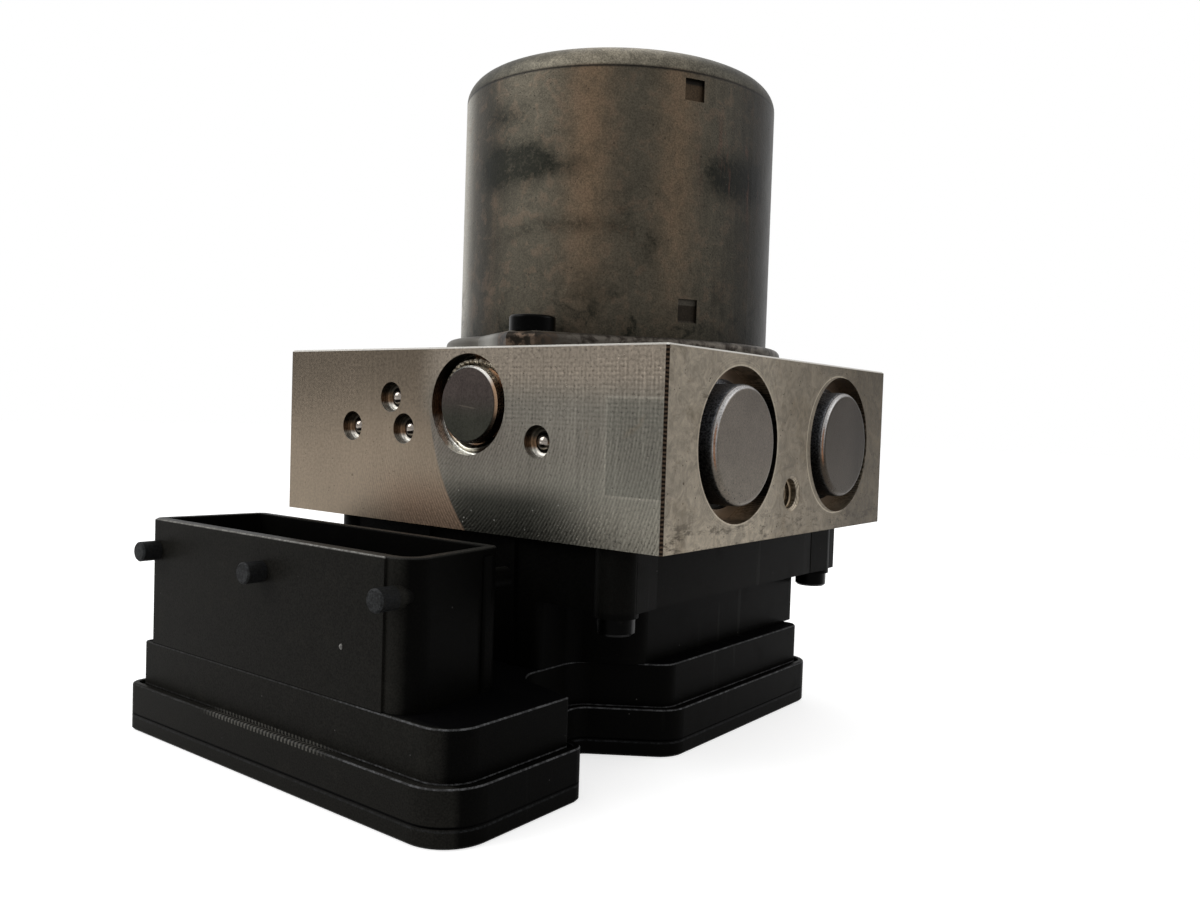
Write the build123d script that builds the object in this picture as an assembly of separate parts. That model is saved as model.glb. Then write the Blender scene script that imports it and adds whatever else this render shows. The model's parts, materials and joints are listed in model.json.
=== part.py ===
from build123d import *
import math
import os

# Anti-lock brake module: a pump motor on top of a drilled aluminium block, with the control unit below it.
# Millimetres. The origin is on the cover's underside, below the motor's axis. +Z runs up that axis, +X points
# to the face with the two accumulator caps, and the connector stands on the -Y side.

os.makedirs("parts", exist_ok=True)

# Heights of the stack, from the ground up
cover_height = 3.8
base_flange_height = 6.7
band_height = 9.3
neck_height = 14.4
deck_flange_height = 13.3
block_height = 40.0
plate_thickness = 3.4
can_height = 64.1

z_cover = cover_height
z_flange = z_cover + base_flange_height
z_band = z_flange + band_height
z_neck = z_band + neck_height
z_deck = z_neck + deck_flange_height
z_block = z_deck + block_height
z_plate = z_block + plate_thickness
z_can = z_plate + can_height

# Fits
fit = 0.02
running = 0.04
slip = 0.1
easy = 0.3

# Block
block_right = 52.0
block_left = -63.3
block_depth = 104.0
block_edge = 0.5
block_top_edge = 0.4
block_front = -block_depth / 2
block_back = block_depth / 2

# Control unit outlines
base_half_width = 39.9
base_rear = 39.4
lobe_left = -62.6
lobe_front = -93.7
lobe_back = -57.9
wall_inset = 2.5
pocket_x = 22.8
pocket_back = -38.4
pocket_slope = 34.9
pocket_front = -53.5
neck_half_width = 33.0
neck_rear = 42.5
deck_right = 41.5
deck_left = -45.0
deck_front = -49.5
deck_rear = 49.5
deck_taper = 0.5
deck_taper_start = 29.5
deck_corner = 4.5
deck_corner_left = 1.5
deck_corner_rear = 1.0
chamber_half_width = 34.5
chamber_rear = 37.2
chamber_front_gap = 6.5
seal_gap = 3.0
seal_width = 2.0
seal_depth = 1.6
plastic = 2.4
board_thickness = 1.6
board_height = 8.0
cover_floor = 2.2
cover_edge = 0.5
cover_seam = 0.25
post_radius = 2.2
post_inset = 10.0
post_side_inset = 9.0
post_front_inset = 12.0
lip_height = 2.0
lip_width = 1.6
groove_depth = 0.8
groove_width = 1.2
board_blocks = ((-10, -6, 10, 14, 1.6), (18, -12, 28, 2, 2.2), (-30, -16, -20, -4, 2.2), (-9, -58, 3, -48, 5.0))
capacitor_place = (25.5, -71.0)
capacitor_radius = 4.0
capacitor_height = 6.0
edge_round = 0.5

# Housing screws, in pockets at the corners
screw_right = 37.5
screw_left = -41.0
screw_front_y = -46.0
screw_rear_y = 42.4
screw_radius = 2.5
screw_head_radius = 4.0
screw_head_height = 3.5
screw_engagement = 9.0
screw_drive_radius = 1.9
boss_radius = 4.6
boss_drop = 0.9
fairing_start = 8.6
fairing_end = 0.6
neck_rib_x = 13.0
neck_rib_width = 1.2
neck_rib_proud = 0.8

# Connector shroud
shroud_centre = -16.2
shroud_half_front = 42.6
shroud_half_back = 39.0
shroud_back = -64.7
shroud_wall = 2.0
shroud_corner_right = 5.0
shroud_corner_left = 2.2
shroud_corner_back = 2.2
panel_proud = 0.5
panel_half = 36.2
lever_pin_radius = 2.15
lever_pin_length = 5.0
lever_pin_pitch = 38.9
lever_pin_drop = 6.9
back_pin_half = 36.2
guide_rib_width = 2.4
guide_rib_proud = 0.9

# Terminals in the connector
signal_columns = 17
signal_pitch = 2.54
signal_rows = (-81.5, -74.0)
signal_start_x = -24.0
signal_size = 0.64
power_width = 4.8
power_thickness = 0.8
power_x = (-46.0, -35.5)
terminal_rise = 12.5
terminal_point = 1.0

# Pump, on one axis across the block
pump_drop = 12.55
pump_recess_radius = 11.1
pump_recess_depth = 3.2
pump_plug_radius = 8.5
pump_plug_length = 8.0
sleeve_radius = 6.5
sleeve_end = 2.6
outlet_radius = 1.2
piston_radius = 4.0
piston_length = 18.0
piston_cavity_radius = 2.6
piston_cavity_depth = 6.0
eccentricity = 1.2
eccentric_radius = 6.0
eccentric_height = 9.0
ring_radius = 9.0
ring_height = 8.0
piston_gap = 0.35

# Motor seat in the block
pilot_radius = 14.4
pilot_depth = 3.0
crank_radius = 11.5
crank_depth = 19.5

# Accumulators, on the right face
accumulator_pitch = 49.4
accumulator_centre_y = 0.8
accumulator_drop = 19.3
recess_radius = 16.5
recess_depth = 6.4
cap_radius = 12.75
cap_wall = 1.6
cap_proud = 1.5
cap_flange_radius = 15.5
cap_flange_thickness = 2.1
cap_edge = 1.4
clip_width = 1.5
clip_inner_radius = 13.8
clip_groove = 0.7
clip_opening = 44.0
accumulator_bore_radius = 12.0
accumulator_bore_length = 14.5
accumulator_piston_length = 7.0
accumulator_travel = 7.0
accumulator_cup_radius = 9.6
accumulator_cup_depth = 5.0
seal_ring_height = 2.2
seal_ring_depth = 1.2

# Valves, in two rows of four below the block
valve_pitch = 15.0
valve_row = 16.5
valve_body_radius = 5.0
valve_body_length = 8.0
tube_radius = 3.2
tube_wall = 0.5
tube_length = 24.0
armature_length = 13.0
armature_travel = 0.4
plunger_radius = 0.9
plunger_length = 6.0
coil_height = 21.0
coil_bore = 3.4
bobbin_wall = 0.7
bobbin_flange_radius = 6.6
bobbin_flange = 1.2
winding_radius = 6.2
yoke_width = 14.0
yoke_depth = 8.0
yoke_thickness = 1.0

# Ports and mounting holes
wheel_port_radius = 4.5
wheel_port_depth = 12.0
wheel_port_pitch = 24.0
wheel_port_drop = 17.5
main_port_radius = 5.5
main_port_depth = 14.0
main_port_x = -53.0
main_port_half = 24.0
bracket_hole_radius = 3.4
bracket_hole_mouth = 4.1
bracket_hole_depth = 14.0
side_hole_y = 0.5
side_hole_rise = 9.6
rear_hole_pitch = 72.0
rear_hole_x = -2.0
rear_hole_drop = 15.5
rear_hole_depth = 11.0

# Balls that close the drillings: x and height above the block's underside
ball_mouth_radius = 3.5
ball_mouth_depth = 2.6
ball_mouth_round = 1.3
ball_radius = 2.0
ball_drilling = 14.0
front_balls = ((-38.5, 21.6), (-24.9, 28.7), (-20.3, 21.5), (20.3, 20.1))
rear_balls = ((-24.9, 28.7), (20.3, 20.1))

# Motor
can_radius = 38.8
can_wall = 1.8
can_edge = 5.2
plate_radius = 42.3
plate_edge = 1.5
ear_reach = 52.1
ear_front_width = 6.8
ear_spread = 25.0
motor_screw_x = 12.0
motor_screw_y = -45.0
motor_screw_radius = 3.0
motor_screw_head_radius = 5.0
motor_screw_head_height = 3.5
motor_screw_depth = 12.0
bearing_hump = 2.0
bearing_hump_radius = 10.5
shaft_radius = 4.0
bottom_bearing_radius = 11.0
bottom_bearing_height = 6.5
top_bearing_radius = 8.0
top_bearing_height = 5.5
magnet_count = 4
magnet_arc = 70.0
magnet_thickness = 6.3
magnet_rise = 17.0
magnet_height = 34.0
air_gap = 1.2
core_height = 32.0
slot_count = 10
slot_width = 6.5
slot_depth = 10.0
core_hub_radius = 12.0
winding_rise = 6.0
commutator_radius = 11.0
commutator_rise = 5.5
commutator_height = 9.5
brush_plate_rise = 1.0
brush_plate_thickness = 2.2
brush_plate_radius = 35.0
brush_plate_bore = 13.0
brush_length = 10.0
brush_width = 6.0
brush_height = 5.0
brush_box_wall = 1.2
brush_box_gap = 3.0
brush_spring_room = 6.0
lead_x = -26.0
lead_stem_radius = 4.2
lead_stem_reach = 10.0
lead_slot = 6.4
lead_slot_depth = 2.4
lead_width = 2.2
lead_thickness = 1.0
dimple_width = 4.8
dimple_depth = 0.8
dimple_azimuth = -28.2
dimple_places = ((6.4, 5.2), (55.0, 4.8))

# Places that follow from the sizes above
z_pump = z_block - pump_drop
z_accumulator = z_block - accumulator_drop
z_board = board_height + board_thickness
z_chamber = z_band
sweep_radius = ring_radius + eccentricity
piston_tip = sweep_radius + piston_gap
stroke = 2 * eccentricity
sleeve_inner = crank_radius + 1.0
plug_inner = -block_front - pump_plug_length
accumulator_ys = {
    "front": accumulator_centre_y - accumulator_pitch / 2,
    "rear": accumulator_centre_y + accumulator_pitch / 2,
}
x_clip = block_right - recess_depth
x_seat = x_clip - cap_flange_thickness
x_bore_end = x_seat - accumulator_bore_length
valve_xs = [(index - 1.5) * valve_pitch for index in range(4)]


def stand(sketch, low, high):
    """A flat outline drawn at z = 0, raised into a solid between two heights."""
    return extrude(Pos(0, 0, low) * sketch, high - low)


def rod(radius, low, high, x=0.0, y=0.0):
    """An upright cylinder."""
    return Pos(x, y, (low + high) / 2) * Cylinder(radius, high - low)


def tube(outer, inner, low, high, x=0.0, y=0.0):
    """An upright ring."""
    return rod(outer, low, high, x, y) - rod(inner, low - 1, high + 1, x, y)


def brick(low, high):
    """A box between two corners."""
    size = [b - a for a, b in zip(low, high)]
    centre = [(a + b) / 2 for a, b in zip(low, high)]
    return Pos(*centre) * Box(*size)


def turned(points):
    """A solid turned about the Z axis from (radius, height) points."""
    return revolve(make_face(Plane.XZ * Polyline(*points, close=True)), Axis.Z)


def facing_x(solid, x, y, z):
    """Turns a solid made about Z so that its axis points along +X from the given place."""
    return Plane(origin=(x, y, z), x_dir=(0, 1, 0), z_dir=(1, 0, 0)).location * solid


def facing_y(solid, x, y, z, side):
    """Turns a solid made about Z so that its axis points along Y, towards the front (-1) or the back (1)."""
    return Plane(origin=(x, y, z), x_dir=(1, 0, 0), z_dir=(0, side, 0)).location * solid


def outline(points, radii):
    """A closed outline with rounded corners."""
    return make_face(FilletPolyline(*points, radius=radii, close=True))


def shrink(points, inset):
    """Moves every side of a counter-clockwise polygon inwards and returns the new corners."""
    lines = []
    for (ax, ay), (bx, by) in zip(points, points[1:] + points[:1]):
        length = math.hypot(bx - ax, by - ay)
        normal = ((ay - by) / length, (bx - ax) / length)
        lines.append((normal, normal[0] * ax + normal[1] * ay + inset))
    corners = []
    for (n, a), (m, b) in zip(lines[-1:] + lines[:-1], lines):
        cross = n[0] * m[1] - n[1] * m[0]
        corners.append(((a * m[1] - b * n[1]) / cross, (b * n[0] - a * m[0]) / cross))
    return corners


def pocket_edge(half_width):
    """Where the slanted wall of the screw pocket meets the side wall."""
    return pocket_back + (half_width - pocket_x) * math.tan(math.radians(pocket_slope))


# The base's corners, counter-clockwise, each with its rounding and whether it points outwards
base_corners = [
    ((lobe_left, lobe_front), 3.0, True),
    ((base_half_width, lobe_front), 9.5, True),
    ((base_half_width, lobe_back), 3.0, True),
    ((pocket_x, pocket_front), 4.0, False),
    ((pocket_x, pocket_back), 4.0, False),
    ((base_half_width, pocket_edge(base_half_width)), 7.0, True),
    ((base_half_width, base_rear), 5.6, True),
    ((-base_half_width, base_rear), 5.6, True),
    ((-base_half_width, pocket_edge(base_half_width)), 7.0, True),
    ((-pocket_x, pocket_back), 4.0, False),
    ((-pocket_x, pocket_front), 4.0, False),
    ((-base_half_width, lobe_back), 4.0, False),
    ((lobe_left, lobe_back), 5.0, True),
]


def base_outline(inset=0.0):
    """The outline of the cover and base flange, moved inwards by the inset."""
    corners = shrink([point for point, _, _ in base_corners], inset)
    radii = [max(r - inset, 0.8) if outward else r + inset for _, r, outward in base_corners]
    return outline(corners, radii)


def mirrored_body(half_width, front, rear, pocket, radii):
    """The outline of the part below the block: straight walls and two slanted screw pockets."""
    edge = pocket_edge(half_width)
    side = [(pocket, front), (pocket, pocket_back), (half_width, edge), (half_width, rear)]
    points = side + [(-x, y) for x, y in reversed(side)]
    return outline(points, radii + radii[::-1])


def screw_places():
    """The four housing screws."""
    return [(x, y) for y in (screw_front_y, screw_rear_y) for x in (screw_right, screw_left)]


def shroud_outline(inset):
    """The connector shroud's outline, slightly narrower at the back."""
    front = lobe_front + wall_inset + panel_proud
    points = [
        (shroud_centre - shroud_half_front, front),
        (shroud_centre + shroud_half_front, front),
        (shroud_centre + shroud_half_back, shroud_back),
        (shroud_centre - shroud_half_back, shroud_back),
    ]
    radii = [shroud_corner_left, shroud_corner_right, shroud_corner_back, shroud_corner_back]
    return outline(shrink(points, inset), [max(r - inset, 0.8) for r in radii])


def hydraulic_block():
    """The aluminium block with its bores, ports, drillings and threaded holes."""
    solid = brick((block_left, block_front, z_deck), (block_right, block_back, z_block))
    solid = chamfer(solid.edges().filter_by(Axis.Z), block_edge)
    solid = chamfer(solid.edges().group_by(Axis.Z)[-1], block_top_edge)
    cuts = [
        rod(pilot_radius + slip, z_block - pilot_depth, z_block + 1),
        rod(crank_radius, z_block - crank_depth, z_block),
        rod(lead_stem_radius + easy, z_deck - 1, z_block + 1, lead_x),
    ]
    for sign in (1, -1):
        x, y = sign * motor_screw_x, sign * motor_screw_y
        cuts.append(rod(motor_screw_radius + fit, z_block - motor_screw_depth, z_block + 1, x, y))
    for x, y in screw_places():
        cuts.append(rod(screw_radius + fit, z_deck - 1, z_deck + screw_engagement + 1, x, y))
    for x in valve_xs:
        for y in (-valve_row, valve_row):
            cuts.append(rod(valve_body_radius + fit, z_deck - 1, z_deck + valve_body_length, x, y))
    reach = -block_front
    pump_bore = rod(sleeve_radius + fit, 0, reach)
    pump_bore += rod(pump_plug_radius + fit, plug_inner, reach + 1)
    pump_bore += rod(pump_recess_radius, reach - pump_recess_depth, reach + 1)
    for side in (-1, 1):
        cuts.append(facing_y(pump_bore, 0, 0, z_pump, side))
    accumulator_bore = rod(accumulator_bore_radius, -accumulator_bore_length, 1)
    accumulator_bore += rod(cap_flange_radius + fit, 0, cap_flange_thickness + 1)
    accumulator_bore += rod(recess_radius, cap_flange_thickness, cap_flange_thickness + recess_depth + 1)
    clip_low = cap_flange_thickness
    accumulator_bore += rod(recess_radius + clip_groove, clip_low, clip_low + clip_width + fit)
    for y in accumulator_ys.values():
        cuts.append(facing_x(accumulator_bore, x_seat, y, z_accumulator))
    side_hole = threaded_hole(bracket_hole_radius, bracket_hole_depth, bracket_hole_mouth)
    cuts.append(facing_x(side_hole, block_right, side_hole_y, z_deck + side_hole_rise))
    rear_hole = threaded_hole(bracket_hole_radius, rear_hole_depth, bracket_hole_mouth)
    for sign in (-1, 1):
        x = rear_hole_x + sign * rear_hole_pitch / 2
        cuts.append(facing_y(rear_hole, x, block_back, z_block - rear_hole_drop, 1))
    wheel_port = threaded_hole(wheel_port_radius, wheel_port_depth, wheel_port_radius + 0.6)
    for index in range(4):
        y = (index - 1.5) * wheel_port_pitch
        place = Plane(origin=(block_left, y, z_block - wheel_port_drop), x_dir=(0, 1, 0), z_dir=(-1, 0, 0))
        cuts.append(place.location * wheel_port)
    main_port = threaded_hole(main_port_radius, main_port_depth, main_port_radius + 0.7)
    for sign in (-1, 1):
        cuts.append(Pos(main_port_x, sign * main_port_half, z_block) * main_port)
    for side, places in ((-1, front_balls), (1, rear_balls)):
        for x, rise in places:
            cuts.append(facing_y(ball_hole(), x, side * block_depth / 2, z_deck + rise, side))
    for cut in cuts:
        solid -= cut
    return solid


def threaded_hole(radius, depth, mouth):
    """A blind hole along Z whose mouth is at z = 0, with a drill point and a countersunk mouth."""
    sink = mouth - radius
    return turned([(0, -depth - radius * 0.6), (radius, -depth), (radius, -sink), (mouth, 0), (mouth, 1), (0, 1)])


def ball_hole():
    """The mouth and drilling that a ball closes, with the mouth at z = 0."""
    hole = rod(ball_mouth_radius, -ball_mouth_depth, 1)
    hole = fillet(hole.edges().group_by(Axis.Z)[0], ball_mouth_round)
    return hole + rod(ball_radius + fit, -ball_drilling, -ball_mouth_depth + 1)


def ball_plugs():
    """The pressed-in balls, sunk to the floor of their mouths."""
    balls = []
    for side, places in ((-1, front_balls), (1, rear_balls)):
        for x, rise in places:
            ball = Pos(0, 0, -ball_mouth_depth - ball_radius * 0.35) * Sphere(ball_radius)
            balls.append(facing_y(ball, x, side * block_depth / 2, z_deck + rise, side))
    return Compound(balls)


def pump_plug(side):
    """The plug that closes a pump bore, staked in flush with the face."""
    reach = -block_front
    plug = rod(pump_plug_radius, plug_inner, reach)
    plug = chamfer(plug.edges().group_by(Axis.Z)[-1], 0.6)
    plug -= rod(piston_radius, plug_inner - 1, plug_inner + 3)
    return facing_y(plug, 0, 0, z_pump, side)


def pump_sleeve(side):
    """The steel cylinder of one pump element, with its outlet hole at the outer end."""
    sleeve = tube(sleeve_radius, piston_radius + running, sleeve_inner, plug_inner - sleeve_end)
    sleeve += tube(sleeve_radius, outlet_radius, plug_inner - sleeve_end, plug_inner)
    return facing_y(sleeve, 0, 0, z_pump, side)


def pump_piston(side):
    """One pump piston at its inner dead centre, just clear of the eccentric's swept circle."""
    piston = rod(piston_radius, piston_tip, piston_tip + piston_length)
    end = piston_tip + piston_length
    piston -= rod(piston_cavity_radius, end - piston_cavity_depth, end + 1)
    return facing_y(piston, 0, 0, z_pump, side)


def coil_spring(radius, wire, low, high, turns):
    """A compression spring along Z, wound of square wire."""
    path = Helix(pitch=(high - low - wire) / turns, height=high - low - wire, radius=radius)
    section = Plane(origin=path @ 0, z_dir=path % 0) * Rectangle(wire, wire)
    return Pos(0, 0, low + wire / 2) * sweep(section, path=path, is_frenet=True)


def pump_spring(side):
    """The spring that presses a pump piston onto the eccentric."""
    wire = 0.8
    low = piston_tip + piston_length - piston_cavity_depth + wire / 8
    high = plug_inner - sleeve_end - wire / 8
    spring = coil_spring(piston_cavity_radius - wire / 2 - slip, wire, low, high, 3.5)
    return facing_y(spring, 0, 0, z_pump, side)


def accumulator_cap(y):
    """The drawn steel cap that carries an accumulator's spring."""
    top = recess_depth + cap_flange_thickness + cap_proud
    shell = rod(cap_radius, 0, top)
    shell = fillet(shell.edges().group_by(Axis.Z)[-1], cap_edge)
    shell += rod(cap_flange_radius, 0, cap_flange_thickness)
    shell -= rod(cap_radius - cap_wall, -1, top - cap_wall)
    return facing_x(shell, x_seat, y, z_accumulator)


def retaining_clips():
    """The split rings that hold the caps in the block."""
    clips = []
    for y in accumulator_ys.values():
        clip = tube(recess_radius + clip_groove - slip, clip_inner_radius, 0, clip_width)
        half = math.radians(clip_opening / 2)
        far = 2 * recess_radius
        wedge = make_face(Polyline((0, 0), (far * math.cos(half), far * math.sin(half)),
                                   (far * math.cos(half), -far * math.sin(half)), close=True))
        clip -= stand(wedge, -1, clip_width + 1)
        clips.append(facing_x(clip, x_clip, y, z_accumulator))
    return Compound(clips)


def accumulator_piston(y):
    """An accumulator piston at the bottom of its bore, open towards the spring."""
    radius = accumulator_bore_radius - running
    piston = rod(radius, 0, accumulator_piston_length)
    piston -= rod(accumulator_cup_radius, accumulator_piston_length - accumulator_cup_depth,
                  accumulator_piston_length + 1)
    middle = accumulator_piston_length / 2
    groove = tube(radius + 1, radius - seal_ring_depth, middle - seal_ring_height / 2, middle + seal_ring_height / 2)
    piston -= groove
    return facing_x(piston, x_bore_end + running, y, z_accumulator)


def accumulator_ring(y):
    """The seal ring in an accumulator piston's groove."""
    middle = accumulator_piston_length / 2
    half = seal_ring_height / 2 - running
    radius = accumulator_bore_radius - running
    ring = tube(radius, radius - seal_ring_depth + running, middle - half, middle + half)
    return facing_x(ring, x_bore_end + running, y, z_accumulator)


def accumulator_spring(y):
    """The soft spring between an accumulator's piston and its cap."""
    wire = 1.6
    low = accumulator_piston_length - accumulator_cup_depth + wire / 8
    high = block_right + cap_proud - cap_wall - x_bore_end - running - wire / 8
    spring = coil_spring(accumulator_cup_radius - wire, wire, low, high, 3.5)
    return facing_x(spring, x_bore_end + running, y, z_accumulator)


def valve_places(row):
    """The four valves of a row: inlet valves in front, outlet valves behind."""
    y = -valve_row if row == "inlet" else valve_row
    return [(x, y) for x in valve_xs]


def valve_body(row, x, y):
    """A valve cartridge: the seat body pressed into the block and the closed tube below it."""
    bottom = z_deck - tube_length
    body = rod(valve_body_radius, z_deck, z_deck + valve_body_length, x, y)
    body += rod(tube_radius, bottom, z_deck, x, y)
    chamber_top = bottom + tube_wall + armature_length + 2 * armature_travel
    body -= rod(tube_radius - tube_wall, bottom + tube_wall, chamber_top, x, y)
    body -= rod(plunger_radius + running, chamber_top - 1, z_deck + valve_body_length + 1, x, y)
    return body


def armature(row, x, y):
    """The moving core of a valve with its plunger, at rest against its spring stop."""
    bottom = z_deck - tube_length + tube_wall
    low = bottom + 0.05 if row == "inlet" else bottom + 0.05 + armature_travel
    core = rod(tube_radius - tube_wall - running, low, low + armature_length, x, y)
    top = low + armature_length + plunger_length
    return core + rod(plunger_radius, low + armature_length, top, x, y)


def coil_parts(x, y):
    """Bobbin, winding and yoke of one solenoid coil, standing on the chamber floor."""
    low = z_chamber
    high = low + coil_height
    inner = bobbin_flange_radius - bobbin_flange
    bobbin = tube(coil_bore + bobbin_wall, coil_bore, low + yoke_thickness, high - yoke_thickness, x, y)
    for z in (low + yoke_thickness, high - yoke_thickness - bobbin_flange):
        bobbin += tube(bobbin_flange_radius, coil_bore, z, z + bobbin_flange, x, y)
    winding = tube(winding_radius, coil_bore + bobbin_wall + fit, low + yoke_thickness + bobbin_flange,
                   high - yoke_thickness - bobbin_flange, x, y)
    half, depth = yoke_width / 2, yoke_depth / 2
    yoke = brick((x - half, y - depth, low), (x + half, y + depth, high))
    inside = half - yoke_thickness / 3
    yoke -= brick((x - inside, y - depth - 1, low + yoke_thickness), (x + inside, y + depth + 1, high - yoke_thickness))
    yoke -= rod(coil_bore, low - 1, high + 1, x, y)
    return bobbin, winding, yoke


def ecu_housing():
    """The moulded housing: base, screw pockets, coil chamber, deck flange and connector shroud."""
    neck = mirrored_body(neck_half_width, deck_front, neck_rear, pocket_x - wall_inset, [2.0, 4.0, 6.0, 3.0])
    flange = stand(base_outline(), z_cover, z_flange)
    solid = fillet(flange.edges().group_by(Axis.Z)[-1], edge_round)
    band = stand(base_outline(wall_inset), z_flange, z_band)
    solid += fillet(band.edges().group_by(Axis.Z)[-1], edge_round)
    solid += stand(neck, z_band, z_neck)
    solid += stand(deck_outline(), z_neck, z_deck)
    for x, y in screw_places():
        solid += rod(boss_radius, z_neck - boss_drop, z_deck, x, y)
        solid += stand(boss_fairing(x, y), z_neck, z_deck)
    for sign in (-1, 1):
        low = (sign * neck_rib_x - neck_rib_width / 2, deck_front - neck_rib_proud, z_band)
        solid += brick(low, (sign * neck_rib_x + neck_rib_width / 2, deck_front + 1, z_deck))
    solid -= groove_ring()
    solid += connector_shroud()
    solid -= board_room()
    solid -= coil_chamber()
    for x, y in screw_places():
        solid -= rod(screw_radius + slip, z_neck - boss_drop - 1, z_deck + 1, x, y)
    solid -= seal_groove()
    half = lead_slot_depth / 2
    solid -= brick((lead_x - lead_slot / 2, -half, z_band - plastic - 1), (lead_x + lead_slot / 2, half, z_band + 1))
    for x, y in board_posts():
        solid += rod(post_radius, z_board, z_band - plastic + 0.5, x, y)
    return solid


def deck_outline():
    """The deck flange under the block, drawn in a little towards its rear corners."""
    right = [(deck_right, deck_front), (deck_right, deck_taper_start), (deck_right - deck_taper, deck_rear)]
    left = [(deck_left + deck_taper, deck_rear), (deck_left, deck_taper_start), (deck_left, deck_front)]
    return outline(right + left, [deck_corner, 0.5, deck_corner_rear, deck_corner_rear, 0.5, deck_corner_left])


def boss_fairing(x, y):
    """The flat that leads from the deck's side wall out to a screw boss."""
    side, inward = math.copysign(1, x), -math.copysign(1, y)
    wall = deck_right if side > 0 else deck_left
    points = [(wall, y + inward * fairing_start), (x + side * boss_radius, y + inward * fairing_end), (x, y),
              (x - side * boss_radius, y + inward * fairing_start)]
    return make_face(Polyline(*points, close=True))


def groove_ring():
    """The narrow groove on the base flange along the foot of the wall."""
    outer = base_outline(wall_inset - groove_width)
    return stand(outer - base_outline(wall_inset), z_flange - groove_depth, z_flange)


def board_room():
    """The space for the board and its parts, open below."""
    return stand(base_outline(wall_inset + plastic), z_cover - 1, z_band - plastic)


def coil_chamber():
    """The chamber for the coils, open towards the block."""
    half, front = neck_half_width - plastic, pocket_back + chamber_front_gap
    centre = Pos(0, (front + chamber_rear) / 2)
    chamber = centre * RectangleRounded(2 * half, chamber_rear - front, 3.0)
    upper = centre * RectangleRounded(2 * chamber_half_width, chamber_rear - front, 3.0)
    return stand(chamber, z_band, z_deck + 1) + stand(upper, z_neck + plastic, z_deck + 1)


def seal_loop(outer_gap, width):
    """The ring shape of the seal around the coil chamber."""
    front = pocket_back + chamber_front_gap - outer_gap
    rear = chamber_rear + outer_gap
    half = chamber_half_width + outer_gap
    centre = Pos(0, (front + rear) / 2)
    loop = centre * RectangleRounded(2 * half, rear - front, 3.0 + outer_gap)
    return loop - centre * RectangleRounded(2 * (half - width), rear - front - 2 * width, 3.0 + outer_gap - width)


def seal_groove():
    """The groove for the housing seal, in the deck."""
    return stand(seal_loop(seal_gap, seal_width), z_deck - seal_depth, z_deck + 1)


def housing_seal():
    """The rubber seal, pressed flush with the deck by the block."""
    return stand(seal_loop(seal_gap - slip, seal_width - 2 * slip), z_deck - seal_depth, z_deck)


def connector_shroud():
    """The connector's shroud with its raised front panel, lever pins and guide ribs."""
    shroud = stand(shroud_outline(0), z_band - plastic, z_deck)
    front = lobe_front + wall_inset
    panel_left = shroud_centre - shroud_half_front + shroud_corner_left
    panel_right = shroud_centre + panel_half
    shroud += brick((panel_left, front, z_band - plastic), (panel_right, front + panel_proud + 1, z_deck))
    shroud = fillet(shroud.edges().group_by(Axis.Z)[-1], 0.35)
    for side in (-1, 1):
        rib = Pos(shroud_centre + side * (shroud_half_back + 0.5), shroud_back - 4.2)
        shroud += stand(rib * RectangleRounded(2 * guide_rib_proud, guide_rib_width, 0.6), z_band - 1, z_deck - 1.5)
    z_pin = z_deck - lever_pin_drop
    for index in (-1, 0, 1):
        pin = chamfer(rod(lever_pin_radius, -3, lever_pin_length).edges().group_by(Axis.Z)[-1], 0.3)
        x = shroud_centre + index * lever_pin_pitch
        shroud += facing_y(pin, x, front + panel_proud, z_pin, -1)
    for index in (-1, 1):
        pin = chamfer(rod(lever_pin_radius, -1.5, lever_pin_length).edges().group_by(Axis.Z)[-1], 0.3)
        shroud += facing_y(pin, shroud_centre + index * back_pin_half, shroud_back, z_pin, 1)
    shroud -= stand(shroud_outline(shroud_wall), z_band, z_deck + 1)
    return shroud


def board_posts():
    """Where the housing presses on the board."""
    rear = base_rear - post_inset
    front = lobe_front + post_front_inset
    side = base_half_width - post_side_inset
    return [(side, rear), (-side, rear), (base_half_width - post_inset, front), (lobe_left + post_inset, front),
            (0.0, pocket_back)]


def ecu_cover():
    """The cover plate, recessed inside, with a lip that locates in the housing."""
    cover = stand(base_outline(), 0, z_cover)
    cover = chamfer(cover.faces().sort_by(Axis.Z)[0].edges(), cover_edge)
    cover = chamfer(cover.faces().sort_by(Axis.Z)[-1].edges(), cover_seam)
    lip_inset = wall_inset + plastic + slip
    cover += stand(base_outline(lip_inset), z_cover, z_cover + lip_height)
    cover -= stand(base_outline(lip_inset + lip_width), cover_floor, z_cover + lip_height + 1)
    for x, y in board_posts():
        cover += rod(post_radius, cover_floor, board_height, x, y)
    return cover


def circuit_board():
    """The circuit board, held between the housing's and the cover's posts."""
    return stand(base_outline(wall_inset + plastic + 0.5), board_height, z_board)


def board_components():
    """The larger parts on the board: processor, valve driver, motor driver, capacitor and choke."""
    parts = [rod(capacitor_radius, z_board, z_board + capacitor_height, *capacitor_place)]
    for low_x, low_y, high_x, high_y, height in board_blocks:
        parts.append(brick((low_x, low_y, z_board), (high_x, high_y, z_board + height)))
    return Compound(parts)


def signal_terminals():
    """The small square pins, in two rows."""
    half = signal_size / 2
    top = z_band + terminal_rise
    pins = []
    for y in signal_rows:
        for index in range(signal_columns):
            x = signal_start_x + index * signal_pitch
            pin = brick((x - half, y - half, z_board), (x + half, y + half, top - terminal_point))
            pin += extrude(Pos(x, y, top - terminal_point) * Rectangle(signal_size, signal_size), terminal_point, taper=12)
            pins.append(pin)
    return Compound(pins)


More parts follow.
